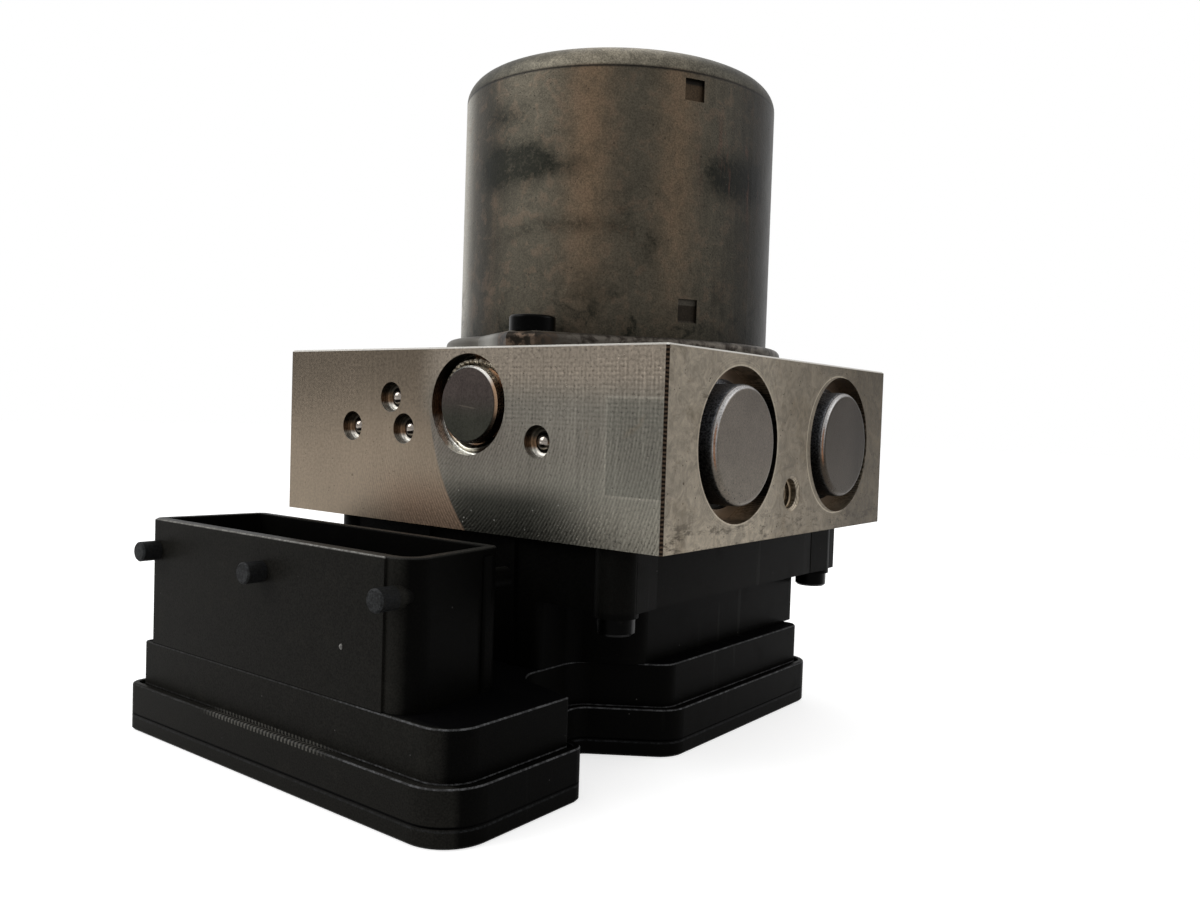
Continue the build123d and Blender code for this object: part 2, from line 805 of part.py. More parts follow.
def power_terminals():
    """The four wide blades for the supply and the motor's earth."""
    top = z_band + terminal_rise
    blades = []
    for y in signal_rows:
        for x in power_x:
            low = (x - power_width / 2, y - power_thickness / 2, z_board)
            blade = brick(low, (x + power_width / 2, y + power_thickness / 2, top))
            blade = chamfer(blade.edges().group_by(Axis.Z)[-1].filter_by(Axis.X), power_thickness / 4)
            blades.append(blade)
    return Compound(blades)


def housing_screws():
    """The four screws that pull the housing onto the block from below."""
    screws = []
    seat = z_neck - boss_drop
    for x, y in screw_places():
        screw = rod(screw_head_radius, seat - screw_head_height, seat, x, y)
        screw = chamfer(screw.edges().group_by(Axis.Z)[0], 0.5)
        screw += rod(screw_radius, seat, z_deck + screw_engagement, x, y)
        recess = RegularPolygon(screw_drive_radius, 6)
        screw -= stand(Pos(x, y) * recess, seat - screw_head_height - 1, seat - screw_head_height + 2.0)
        screws.append(screw)
    return Compound(screws)


def ear(sign):
    """One ear of the motor plate: a short straight front edge, with sides that run into the disc."""
    half = ear_front_width / 2
    spread = math.radians(ear_spread)
    foot = (plate_radius * math.cos(spread), plate_radius * math.sin(spread))
    points = [(0, 0), (foot[0], -foot[1]), (ear_reach, -half), (ear_reach, half), foot]
    azimuth = math.degrees(math.atan2(sign * motor_screw_y, sign * motor_screw_x))
    return Rot(0, 0, azimuth) * make_face(Polyline(*points, close=True))


def motor_plate():
    """The steel plate that closes the motor, with two ears and the pilot that centres it in the block."""
    outer = Circle(plate_radius) + ear(1) + ear(-1)
    plate = stand(outer, z_block, z_plate)
    plate = fillet(plate.edges().group_by(Axis.Z)[-1], plate_edge)
    plate += rod(pilot_radius, z_block - pilot_depth, z_plate)
    plate -= rod(bottom_bearing_radius + fit, z_block - pilot_depth - 1, z_block - pilot_depth + bottom_bearing_height)
    plate -= rod(shaft_radius + 3.0, z_block, z_plate + 1)
    plate -= rod(lead_stem_radius + easy, z_block - 1, z_plate + 1, lead_x)
    for sign in (1, -1):
        plate -= rod(motor_screw_radius + slip, z_block - 1, z_plate + 1, sign * motor_screw_x, sign * motor_screw_y)
    return plate


def motor_screws():
    """The two screws that hold the motor on the block."""
    screws = []
    for sign in (1, -1):
        x, y = sign * motor_screw_x, sign * motor_screw_y
        head = rod(motor_screw_head_radius, z_plate, z_plate + motor_screw_head_height, x, y)
        head = fillet(head.edges().group_by(Axis.Z)[-1], 0.7)
        head += rod(motor_screw_radius, z_block - motor_screw_depth + 1, z_plate, x, y)
        head -= stand(Pos(x, y) * RegularPolygon(2.4, 6), z_plate + 1.2, z_plate + motor_screw_head_height + 1)
        screws.append(head)
    return Compound(screws)


def motor_can():
    """The drawn steel can with its rounded edge, bearing seat and pressed square dimples."""
    outer = rod(can_radius, z_plate, z_can)
    outer = fillet(outer.edges().group_by(Axis.Z)[-1], can_edge)
    inner = rod(can_radius - can_wall, z_plate - 1, z_can - can_wall)
    inner = fillet(inner.edges().group_by(Axis.Z)[-1], can_edge - can_wall)
    seat_outer = bearing_hump_radius
    hump = rod(seat_outer, z_can - can_wall, z_can + bearing_hump)
    hump = fillet(hump.edges().group_by(Axis.Z)[-1], 1.0)
    can = outer - inner + hump
    seat_top = z_can + bearing_hump - can_wall
    can += tube(top_bearing_radius + can_wall, top_bearing_radius + fit, seat_top - top_bearing_height, z_can - can_wall)
    can -= rod(top_bearing_radius + fit, seat_top - top_bearing_height - 1, seat_top)
    for azimuth in (dimple_azimuth, dimple_azimuth + 180):
        for rise, height in dimple_places:
            dimple = brick((can_radius - dimple_depth, -dimple_width / 2, z_plate + rise - height / 2),
                           (can_radius + 2, dimple_width / 2, z_plate + rise + height / 2))
            can -= Rot(0, 0, azimuth) * dimple
    return can


def sector(inner, outer, half_angle, low, high):
    """An upright ring segment centred on the X axis."""
    reach = outer * 2
    a = math.radians(half_angle)
    wedge = make_face(Polyline((0, 0), (reach * math.cos(a), -reach * math.sin(a)), (reach * math.cos(a),
                               reach * math.sin(a)), close=True))
    return stand((Circle(outer) - Circle(inner)) & wedge, low, high)


def motor_magnets():
    """The curved magnets inside the can."""
    outer = can_radius - can_wall - slip
    low = z_plate + magnet_rise
    magnet = sector(outer - magnet_thickness, outer, magnet_arc / 2, low, low + magnet_height)
    return Compound([Rot(0, 0, 45 + index * 360 / magnet_count) * magnet for index in range(magnet_count)])


core_radius = can_radius - can_wall - slip - magnet_thickness - air_gap
z_core = z_plate + magnet_rise + (magnet_height - core_height) / 2


def rotor_shaft():
    """The motor's shaft with the eccentric for the pump at its lower end."""
    top = z_can + bearing_hump - can_wall - 0.5
    bottom = z_pump - eccentric_height / 2 - 1.0
    shaft = rod(shaft_radius, bottom, top)
    shaft += rod(eccentric_radius, z_pump - eccentric_height / 2, z_pump + eccentric_height / 2, eccentricity)
    return shaft


def eccentric_ring():
    """The needle bearing's ring that runs on the eccentric and pushes the pistons."""
    half = ring_height / 2
    return tube(ring_radius, eccentric_radius + running, z_pump - half, z_pump + half, eccentricity)


def armature_core():
    """The slotted stack of sheets on the shaft."""
    face = Circle(core_radius) - Circle(shaft_radius + fit)
    slot = Pos(core_radius - slot_depth / 2 + 1) * Rectangle(slot_depth + 2, slot_width)
    for index in range(slot_count):
        face -= Rot(0, 0, index * 360 / slot_count) * slot
    return stand(face, z_core, z_core + core_height)


def armature_winding():
    """The copper winding: bars in the slots, joined by the end turns."""
    low, high = z_core - winding_rise, z_core + core_height + winding_rise
    reach = core_radius - 2.0
    winding = tube(reach, core_hub_radius, low, z_core) + tube(reach, core_hub_radius, z_core + core_height, high)
    inner = core_radius - slot_depth + 1.0
    for index in range(slot_count):
        bar = brick((inner, slip - slot_width / 2, z_core - 1), (reach - 1, slot_width / 2 - slip, z_core + core_height + 1))
        winding += Rot(0, 0, index * 360 / slot_count) * bar
    return winding


def commutator():
    """The copper commutator between the brushes."""
    low = z_plate + commutator_rise
    solid = tube(commutator_radius, shaft_radius + fit, low, low + commutator_height)
    for index in range(slot_count):
        cut = brick((commutator_radius - 1, -0.4, low - 1), (commutator_radius + 1, 0.4, low + commutator_height - 1.2))
        solid -= Rot(0, 0, (index + 0.5) * 360 / slot_count) * cut
    return solid


def brush_holder():
    """The moulded brush plate with its two brush boxes and the stem that carries the leads down."""
    low = z_plate + brush_plate_rise
    top = low + brush_plate_thickness
    holder = tube(brush_plate_radius, brush_plate_bore, low, top)
    for step in range(3):
        foot = rod(2.5, z_plate, low + 0.5, brush_plate_radius - 4.0)
        holder += Rot(0, 0, 60 + 120 * step) * foot
    wall = brush_box_wall
    inner = commutator_radius + brush_box_gap
    outer = inner + brush_length + brush_spring_room
    box_top = top + brush_height + wall
    for azimuth in (90, 270):
        box = brick((inner, -brush_width / 2 - wall, top - 0.5), (outer, brush_width / 2 + wall, box_top))
        room = brush_width / 2 + slip
        box -= brick((inner - 1, -room, top), (outer - wall, room, box_top - wall + slip))
        holder += Rot(0, 0, azimuth) * box
    stem_low = z_deck - lead_stem_reach
    holder += rod(lead_stem_radius, stem_low, top + 1.5, lead_x)
    half = lead_width + 0.6
    deep = lead_thickness / 2 + slip
    holder -= brick((lead_x - half, -deep, stem_low - 2), (lead_x + half, deep, top + 3))
    return holder


def brushes():
    """The two carbon brushes, resting on the commutator."""
    top = z_plate + brush_plate_rise + brush_plate_thickness
    inner = commutator_radius + 0.05
    brush = brick((inner, -brush_width / 2, top + 0.05), (inner + brush_length, brush_width / 2, top + brush_height))
    curve = rod(commutator_radius + 0.05, top - 1, top + brush_height + 1)
    return Compound([Rot(0, 0, azimuth) * (brush - curve) for azimuth in (90, 270)])


def brush_springs():
    """The bent strip springs behind the brushes."""
    top = z_plate + brush_plate_rise + brush_plate_thickness
    low = commutator_radius + 0.1 + brush_length
    high = commutator_radius + brush_box_gap + brush_length + brush_spring_room - brush_box_wall - 0.1
    half = brush_width / 2 - 0.5
    reach = 0.9
    wave = [(low, -half), (high - reach, -half / 3), (low, half / 3), (high - reach, half)]
    points = wave + [(x + reach, y) for x, y in reversed(wave)]
    spring = stand(make_face(Polyline(*points, close=True)), top + 0.6, top + brush_height - 0.6)
    return Compound([Rot(0, 0, azimuth) * spring for azimuth in (90, 270)])


def bottom_bearing():
    """The ball bearing in the motor plate."""
    low = z_block - pilot_depth
    ring = tube(bottom_bearing_radius, shaft_radius + running, low, low + bottom_bearing_height)
    groove = tube(bottom_bearing_radius - 2.0, shaft_radius + 2.0, low - 1, low + 0.6)
    return ring - groove


def top_bearing():
    """The plain bearing in the can's seat."""
    seat_top = z_can + bearing_hump - can_wall
    return tube(top_bearing_radius, shaft_radius + running, seat_top - top_bearing_height, seat_top)


def motor_leads():
    """The two copper strips from the brushes down to the board."""
    top = z_plate + brush_plate_rise + brush_plate_thickness + 3.0
    leads = []
    for side in (-1, 1):
        inner, outer = sorted((lead_x + side * 0.5, lead_x + side * (0.5 + lead_width)))
        leads.append(brick((inner, -lead_thickness / 2, z_board), (outer, lead_thickness / 2, top)))
    return Compound(leads)


def rows(row, maker):
    """One compound of the parts of a valve row."""
    return Compound([maker(row, x, y) for x, y in valve_places(row)])


def build_nodes():
    """Every node of the module by name."""
    nodes = {
        "hydraulic_block": hydraulic_block(),
        "ball_plugs": ball_plugs(),
        "retaining_clips": retaining_clips(),
        "inlet_valve_bodies": rows("inlet", valve_body),
        "outlet_valve_bodies": rows("outlet", valve_body),
        "ecu_housing": ecu_housing(),
        "ecu_cover": ecu_cover(),
        "housing_seal": housing_seal(),
        "housing_screws": housing_screws(),
        "circuit_board": circuit_board(),
        "board_components": board_components(),
        "signal_terminals": signal_terminals(),
        "power_terminals": power_terminals(),
        "motor_plate": motor_plate(),
        "motor_can": motor_can(),
        "motor_screws": motor_screws(),
        "motor_magnets": motor_magnets(),
        "rotor_shaft": rotor_shaft(),
        "eccentric_ring": eccentric_ring(),
        "armature_core": armature_core(),
        "armature_winding": armature_winding(),
        "commutator": commutator(),
        "brush_holder": brush_holder(),
        "brushes": brushes(),
        "brush_springs": brush_springs(),
        "bottom_bearing": bottom_bearing(),
        "top_bearing": top_bearing(),
        "motor_leads": motor_leads(),
    }
    for end, side in (("front", -1), ("rear", 1)):
        nodes["pump_plug_" + end] = pump_plug(side)
        nodes["pump_sleeve_" + end] = pump_sleeve(side)
        nodes["pump_piston_" + end] = pump_piston(side)
        nodes["pump_spring_" + end] = pump_spring(side)
    for end, y in accumulator_ys.items():
        nodes["accumulator_cap_" + end] = accumulator_cap(y)
        nodes["accumulator_piston_" + end] = accumulator_piston(y)
        nodes["accumulator_ring_" + end] = accumulator_ring(y)
        nodes["accumulator_spring_" + end] = accumulator_spring(y)
    for row in ("inlet", "outlet"):
        for index, (x, y) in enumerate(valve_places(row), 1):
            nodes[f"{row}_armature_{index}"] = armature(row, x, y)
    coils = [coil_parts(x, y) for row in ("inlet", "outlet") for x, y in valve_places(row)]
    for name, parts in zip(("coil_bobbins", "coil_windings", "coil_yokes"), zip(*coils)):
        nodes[name] = Compound(list(parts))
    return nodes


for node_name, shape in build_nodes().items():
    export_step(shape, f"parts/{node_name}.step")
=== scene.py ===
"""Looks of an anti-lock brake module: milled block, steel motor can and black control unit housing."""

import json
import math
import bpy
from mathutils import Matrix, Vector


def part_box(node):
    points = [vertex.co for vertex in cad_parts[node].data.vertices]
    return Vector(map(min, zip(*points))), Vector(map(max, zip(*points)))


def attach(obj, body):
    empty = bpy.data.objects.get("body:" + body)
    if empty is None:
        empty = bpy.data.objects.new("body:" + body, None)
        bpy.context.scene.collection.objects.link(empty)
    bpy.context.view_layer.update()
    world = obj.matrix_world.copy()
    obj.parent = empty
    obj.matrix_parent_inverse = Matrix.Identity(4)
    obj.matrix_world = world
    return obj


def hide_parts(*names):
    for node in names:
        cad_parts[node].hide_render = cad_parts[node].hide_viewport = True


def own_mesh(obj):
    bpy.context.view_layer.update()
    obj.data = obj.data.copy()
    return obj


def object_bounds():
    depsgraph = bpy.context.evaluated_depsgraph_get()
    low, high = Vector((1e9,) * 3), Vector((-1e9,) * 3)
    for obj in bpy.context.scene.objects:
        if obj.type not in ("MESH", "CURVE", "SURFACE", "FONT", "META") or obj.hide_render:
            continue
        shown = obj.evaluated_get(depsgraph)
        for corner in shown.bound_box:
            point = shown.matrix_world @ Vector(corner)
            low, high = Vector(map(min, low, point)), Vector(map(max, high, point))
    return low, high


bl_info = {
    "name": "Brake module finish",
    "version": (1, 0, 0),
    "blender": (4, 5, 0),
    "location": "3D View > Sidebar > Brake module",
    "description": "Gives every piece of a brake module its finish and adds threads, staking and the stage",
    "category": "Object",
}

import bmesh
import bpy
import numpy as np
from bpy.props import FloatProperty, FloatVectorProperty, PointerProperty
from mathutils import Matrix, Vector

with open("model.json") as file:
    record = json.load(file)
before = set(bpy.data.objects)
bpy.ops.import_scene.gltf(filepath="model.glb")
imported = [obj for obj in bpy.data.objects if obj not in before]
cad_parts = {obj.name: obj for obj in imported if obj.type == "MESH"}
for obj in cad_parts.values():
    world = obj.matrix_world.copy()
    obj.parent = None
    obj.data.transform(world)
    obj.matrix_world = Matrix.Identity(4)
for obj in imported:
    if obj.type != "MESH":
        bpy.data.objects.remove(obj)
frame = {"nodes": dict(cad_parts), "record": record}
NODES = frame["nodes"]
MOUNTS = {mount["name"]: mount for mount in frame["record"]["mounts"]}
CAD_BOUNDS = [list(corner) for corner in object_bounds()]
MM = 0.001
TURN = 2.0 * math.pi
# Thread pitches of the wheel ports and of the other threads, and the rear threads' length, in metres.
FINE_PITCH = 1.0 * MM
COARSE_PITCH = 1.25 * MM
REAR_THREAD = 9.0 * MM
# Where the front balls sit: x, and height above the block's underside, in millimetres.
FRONT_BALLS = ((-38.5, 21.6), (-24.9, 28.7), (-20.3, 21.5), (20.3, 20.1))
# Heights of the housing's edges, in millimetres.
FLANGE_TOP = 10.5
LEDGE_TOP = 19.8
# Level direction in which mirrored rays meet the white backdrop.
TOWARD_BACKDROP = (-0.7596, 0.6498, 0.0)
# The photograph's viewpoint: its place in metres, and its yaw, pitch and roll in degrees.
CAMERA_PLACE = (0.156468, -0.208273, 0.073442)
CAMERA_ANGLES = (37.4507, -1.9534, 1.8773)


def box_mm(name):
    """Lowest and highest corner of a CAD node in millimetres."""
    return [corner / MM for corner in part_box(name)]


block_low, block_high = box_mm("hydraulic_block")
can_high = box_mm("motor_can")[1]
housing_low, housing_high = box_mm("ecu_housing")


def length(label, text, value):
    """A length that a user may change, given in millimetres and kept in metres."""
    return FloatProperty(name=label, description=text, default=value * MM, unit="LENGTH", subtype="DISTANCE")


def colour(label, text, value):
    """A colour that a user may change, linear."""
    return FloatVectorProperty(
        name=label, description=text, default=value, subtype="COLOR", size=3, min=0.0, max=1.0
    )


class BrakeModuleSizes(bpy.types.PropertyGroup):
    """Sizes of the added pieces and of the tool marks."""

    thread_depth: length("Thread depth", "How far the thread's ridge stands in from the bore", 0.45)
    mill_pitch: length("Mill mark pitch", "Distance between two marks of the face mill", 0.55)
    mill_radius: length("Mill radius", "Radius of the face mill that finished the front", 47.9)
    mill_x: length("Mill centre X", "Where the face mill stood when it left the front", 35.6)
    mill_z: length("Mill centre Z", "Height of the face mill when it left the front", 80.0)
    return_x: length("Return centre X", "Centre of the arcs of the mill's second pass", -30.0)
    return_z: length("Return centre Z", "Height of the centre of those arcs", 84.0)
    stake_inner: length("Staking inner radius", "Inner edge of the staked ring round a pump plug", 8.7)
    stake_outer: length("Staking outer radius", "Outer edge of the staked ring round a pump plug", 10.9)
    stake_height: length("Staking height", "Height of the staked ring's ridge", 1.5)
    plug_recess: length("Plug recess", "How far a pump plug lies below the block's face", 3.2)
    pin_stand: length("Pin stand", "How far the lever pins stand proud of the connector's front", 4.5)
    nub_size: length("Nub size", "Radius of the moulding nub on the connector", 0.45)
    nub_x: length("Nub X", "Where the moulding nub sits", 8.7)
    nub_z: length("Nub Z", "Height of the moulding nub", 29.7)


class BrakeModuleColours(bpy.types.PropertyGroup):
    """Main colours of the finishes."""

    block_warm: colour("Block, first pass", "Milled left of the mill's edge", (0.264, 0.211, 0.155))
    # The second pass's cooler grey is a painted reflection laid over the milled front.
    block_grey: colour("Block, second pass", "Milled right of the mill's edge", (0.190, 0.176, 0.148))
    block_side: colour("Block side", "Milled face with the caps", (0.330, 0.287, 0.226))
    can_olive: colour("Can patina", "Olive steel of the motor can", (0.086, 0.075, 0.055))
    can_brown: colour("Can stain", "Brown bands on the motor can", (0.168, 0.114, 0.070))
    steel_grey: colour("Steel", "Turned steel of the balls and inner pieces", (0.200, 0.178, 0.158))
    plastic: colour("Housing plastic", "Black moulded plastic", (0.0024, 0.0023, 0.0020))
    copper: colour("Copper", "Enamelled copper wire", (0.560, 0.210, 0.090))


class BrakeModuleStage(bpy.types.PropertyGroup):
    """Light and camera."""

    lens: FloatProperty(name="Lens", description="Focal length on a 36 mm sensor", default=30.24, min=1.0)
    world_level: FloatProperty(name="Sky level", description="Strength at the horizon", default=0.45)
    key_power: FloatProperty(name="Key light", description="Power of the key light in watts", default=7.0)
    rim_power: FloatProperty(name="Rim light", description="Power of the rim light in watts", default=1.6)


class Wire:
    """A socket or a number that takes Python arithmetic and adds the Math nodes for it."""

    def __init__(self, recipe, source):
        self.recipe = recipe
        self.source = source

    def math(self, operation, *others, clamp=False):
        """One Math node on this value and the others."""
        inputs = {index: value for index, value in enumerate((self, *others))}
        settings = {"operation": operation, "use_clamp": clamp}
        return Wire(self.recipe, self.recipe.node("ShaderNodeMath", settings, inputs).outputs[0])

    def __add__(self, other):
        return self.math("ADD", other)

    __radd__ = __add__

    def __sub__(self, other):
        return self.math("SUBTRACT", other)

    def __rsub__(self, other):
        return Wire(self.recipe, other).math("SUBTRACT", self)

    def __mul__(self, other):
        return self.math("MULTIPLY", other)

    __rmul__ = __mul__

    def __truediv__(self, other):
        return self.math("DIVIDE", other)

    def __pow__(self, other):
        return self.math("POWER", other)

    def __neg__(self):
        return self.math("MULTIPLY", -1.0)

    def absolute(self):
        return self.math("ABSOLUTE")

    def sine(self):
        return self.math("SINE")

    def root(self):
        return self.math("SQRT")

    def least(self, other):
        return self.math("MINIMUM", other)

    def most(self, other):
        return self.math("MAXIMUM", other)

    def clamped(self):
        return self.math("ADD", 0.0, clamp=True)

    def wave(self, period, shift=0.0):
        """A sine along this length, moved by a shift in radians."""
        return (self * (TURN / period) + shift).sine()

    def squared(self):
        return self ** 2.0

    def rise(self, low, high):
        """0 below low, 1 above high, with a smooth step between; high may be under low."""
        inputs = {"Value": self, "From Min": low, "From Max": high}
        made = self.recipe.node("ShaderNodeMapRange", {"interpolation_type": "SMOOTHSTEP"}, inputs)
        return Wire(self.recipe, made.outputs[0])

    def bell(self, centre, width):
        """1 at the centre, falling off like a bell over the width."""
        return (-((self - centre) / width).squared()).math("EXPONENT")

    def band(self, low, high, soft):
        """1 between low and high, with soft edges."""
        return self.rise(low - soft, low + soft) * self.rise(high + soft, high - soft)


class NodeTree:
    """The nodes of a material or of the world."""

    def __init__(self, owner):
        owner.use_nodes = True
        self.tree = owner.node_tree

    def node(self, kind, settings=None, inputs=None):
        """Adds a node: first its settings, then the values or links of its sockets."""
        made = self.tree.nodes.new(kind)
        for key, value in (settings or {}).items():
            setattr(made, key, value)
        for key, value in (inputs or {}).items():
            self.feed(made.inputs[key], value)
        return made

    def feed(self, socket, value):
        """Links a socket to a wire or another socket, or sets its value."""
        if isinstance(value, Wire):
            value = value.source
        if isinstance(value, bpy.types.NodeSocket):
            self.tree.links.new(value, socket)
        elif socket.type == "RGBA" and len(value) == 3:
            socket.default_value = (*value, 1.0)
        else:
            socket.default_value = value


def reach_of(across, up):
    """Distance from an axis, from the offsets across and up."""
    return (across.squared() + up.squared()).root()


class Recipe(NodeTree):
    """One material: its shader and the patterns it is mixed from."""

    def __init__(self, name):
        self.material = bpy.data.materials.new(name)
        super().__init__(self.material)
        self.shader = next(n for n in self.tree.nodes if n.type == "BSDF_PRINCIPLED")
        self.place = self.node("ShaderNodeTexCoord").outputs["Object"]
        axes = self.node("ShaderNodeSeparateXYZ", {}, {"Vector": self.place}).outputs
        self.x, self.y, self.z = (Wire(self, axis) / MM for axis in axes)

    def stretched(self, scale, turn=(0.0, 0.0, 0.0)):
        """Object coordinates, scaled per axis, for grain that runs one way."""
        inputs = {"Vector": self.place, "Scale": scale, "Rotation": turn}
        return self.node("ShaderNodeMapping", {}, inputs).outputs[0]

    def noise(self, scale, detail=3.0, rough=0.55, vector=None, warp=0.0):
        """Soft cloudy noise, 0 to 1; scale counts lumps per metre."""
        inputs = {"Vector": vector or self.place, "Scale": scale, "Detail": detail, "Roughness": rough,
                  "Distortion": warp}
        return Wire(self, self.node("ShaderNodeTexNoise", {}, inputs).outputs[0])

    def cells(self, scale, feature="F1"):
        """Distance to the nearest of scattered points; scale counts points per metre."""
        made = self.node("ShaderNodeTexVoronoi", {"feature": feature}, {"Vector": self.place, "Scale": scale})
        return Wire(self, made.outputs["Distance"])

    def specks(self, scale, size, amount):
        """Small scattered dots: a share of the cells has one, of the given size within the cell."""
        gate = self.noise(scale * 0.37, 1.0).rise(1.0 - amount, 1.02 - amount)
        return self.cells(scale).rise(size, size * 0.45) * gate

    def mix(self, factor, first, second):
        """Colour mix: the factor goes from the first colour to the second."""
        settings = {"data_type": "RGBA", "clamp_factor": True}
        return self.node("ShaderNodeMix", settings, {0: factor, 6: first, 7: second}).outputs[2]

    def coats(self, base, *layers):
        """Colours laid over a base one after the other, each as (factor, colour)."""
        for factor, layer in layers:
            base = self.mix(factor, base, layer)
        return base

    def tinted(self, colour_value, factor):
        """A colour made lighter or darker by a factor, which may be a wire."""
        inputs = {"Vector": colour_value, "Scale": factor}
        return self.node("ShaderNodeVectorMath", {"operation": "SCALE"}, inputs).outputs[0]

    def finish(self, colour_value, rough, metal, bump, depth_mm, specular=0.5):
        """Puts the colours, roughness and relief on the shader; what is the same all over is set plainly."""
        self.feed(self.shader.inputs["Base Color"], colour_value)
        self.feed(self.shader.inputs["Roughness"], rough)
        self.feed(self.shader.inputs["Metallic"], metal)
        self.feed(self.shader.inputs["Specular IOR Level"], specular)
        relief = self.node("ShaderNodeBump", {}, {"Height": bump, "Distance": depth_mm * MM, "Strength": 1.0})
        self.feed(self.shader.inputs["Normal"], relief.outputs[0])
        return self.material


def dress(material, *starts):
    """Gives a material to the CAD nodes whose names start with one of these."""
    for start in starts:
        pieces = [piece for name, piece in NODES.items() if name.startswith(start)]
        if not pieces:
            raise ValueError(f"no node's name starts with {start}")
        for piece in pieces:
            piece.data.materials.clear()
            piece.data.materials.append(material)


def near_balls(recipe):
    """Distance from the nearest pressed-in ball's axis and height above that axis, both in millimetres."""
    reach, up = Wire(recipe, 99), Wire(recipe, 0)
    for place_x, rise in FRONT_BALLS:
        across, above = recipe.x - place_x, recipe.z - (block_low.z + rise)
        away = reach_of(across, above)
        up = up + above * away.rise(4.6, 4.5)
        reach = reach.least(away)
    return reach, up


def accumulator_line():
    """How far each accumulator's axis lies from the middle, and its height, in millimetres."""
    low, high = box_mm("accumulator_cap_front")
    return abs(low.y + high.y) / 2, (low.z + high.z) / 2


def above_plug(recipe):
    """Height above the pump plugs' axis, in millimetres."""
    return recipe.z - sum(corner.z for corner in box_mm("pump_plug_front")) / 2


def first_pass(r, colours):
    """Colour of the front's first milled pass: darker towards the top, brown and grey-brown low down."""
    low = r.z.rise(62, 50)
    return r.coats(
        colours.block_warm,
        (r.z.rise(60, 86), r.tinted(colours.block_warm, 0.5)),
        (low * r.x.rise(-36, -14) * 0.9, (0.28, 0.19, 0.13)),
        (low * r.x.rise(-40, -56) * 0.7, (0.235, 0.19, 0.138)),
    )


def second_pass_and_reflection(r, colours, second, cloud):
    """Colour of the second pass, largely a painted reflection: pale low on the right, a dark band, a dark
    stretch low in the middle, and an outlined patch.
    """
    x, z = r.x, r.z
    patch = x.band(38.3, 51.8, 0.12) * z.band(58, 76.8, 0.12) * second
    outline = x.band(37.8, 52.3, 0.15) * z.band(57.5, 77.3, 0.15) * second - patch
    # A dark stretch of painted reflection low on the front.
    dark_reflection = z.rise(60.5, 54) * x.band(-8, 28, 11) * (0.85 + 0.3 * cloud)
    return r.coats(
        colours.block_grey,
        (z.rise(74, 83), (0.27, 0.23, 0.184)),
        (z.rise(60, 50) * x.rise(24, 40) * 0.9, (0.45, 0.412, 0.338)),
        (z.bell(68, 6) * x.rise(30, 0) * 0.7, (0.15, 0.13, 0.11)),
        (x.band(12, 30, 6) * z.bell(71, 5) * 0.5, (0.215, 0.198, 0.168)),
        (z.rise(66, 58) * x.rise(14, 30) * 0.6, (0.255, 0.245, 0.205)),
        (dark_reflection.clamped() * 0.95, (0.046, 0.046, 0.038)),
        (patch * 0.45, (0.15, 0.147, 0.124)),
        (outline * 0.5, (0.33, 0.31, 0.26)),
    )


def cap_face(r, colours, from_cap):
    """Colour of the face with the caps: browner to the right, worn, smeared, with a bright lip round each."""
    y, z = r.y, r.z
    worn = r.noise(75, 4, 0.65, warp=0.4)
    smear = r.noise(190, 4, 0.7, r.stretched((1, 0.5, 1.4), (0.6, 0, 0)), 0.8)
    dirt = r.noise(260, 5, 0.75, warp=1.2).rise(0.3, 0.7)
    side = r.coats(
        r.tinted(colours.block_side, 0.74),
        (z.rise(60, 47) * 0.5, (0.345, 0.3, 0.232)),
        (y.rise(-12, -2) * 0.55, (0.125, 0.103, 0.074)),
        (y.rise(8, 40) * 0.9, (0.082, 0.066, 0.046)),
        (worn.rise(0.48, 0.72) * 0.6, (0.12, 0.096, 0.064)),
        (smear.rise(0.56, 0.72) * 0.45, (0.105, 0.08, 0.052)),
    )
    return r.mix(from_cap.band(16.5, 16.9, 0.08) * 0.55, r.tinted(side, 0.7 + dirt * 0.52), (0.43, 0.38, 0.3))


def bore_walls(r, from_cap, cap_up):
    """Colour of the walls of the bores, lit as far as the light reaches into them."""
    x, y, z = r.x, r.y, r.z
    ball_reach, ball_up = near_balls(r)
    ball_wall = r.coats(
        (0.05, 0.044, 0.034),
        (ball_up.rise(1.6, -0.4), (0.25, 0.155, 0.09)),
        (ball_up.rise(-0.9, -1.9), (0.76, 0.73, 0.66)),
        (ball_reach.rise(2.45, 2.25), (0.008, 0.006, 0.005)),
    )
    plug_up = above_plug(r)
    plug_wall = r.coats(
        (0.23, 0.14, 0.085),
        ((plug_up * 0.85 - x * 0.3).rise(3, 9), (0.03, 0.026, 0.02)),
        ((-x * 0.55 - plug_up * 0.83).rise(7.5, 9.3), (0.88, 0.87, 0.83)),
        ((x * 0.55 + plug_up * 0.83).rise(8, 9.5), (0.26, 0.13, 0.06)),
        (x.rise(7, 9) * plug_up.rise(6, 3), (0.006, 0.005, 0.004)),
    )
    cap_wall = r.mix(cap_up.absolute().rise(8, 15.5), (0.03, 0.026, 0.022), (0.33, 0.255, 0.18))
    cap_wall = r.tinted(cap_wall, 0.35 + r.noise(130, 3, 0.6, warp=0.9).rise(0.35, 0.62) * 1.1)
    return r.coats(
        (0.17, 0.125, 0.085),
        (z.rise(78, 62), (0.43, 0.37, 0.29)),
        (ball_reach.rise(4.4, 4.2), ball_wall),
        (reach_of(x, plug_up).rise(11.6, 11.4) * y.absolute().rise(40, 42), plug_wall),
        (from_cap.rise(17, 16.8) * x.rise(45, 46), cap_wall),
    )


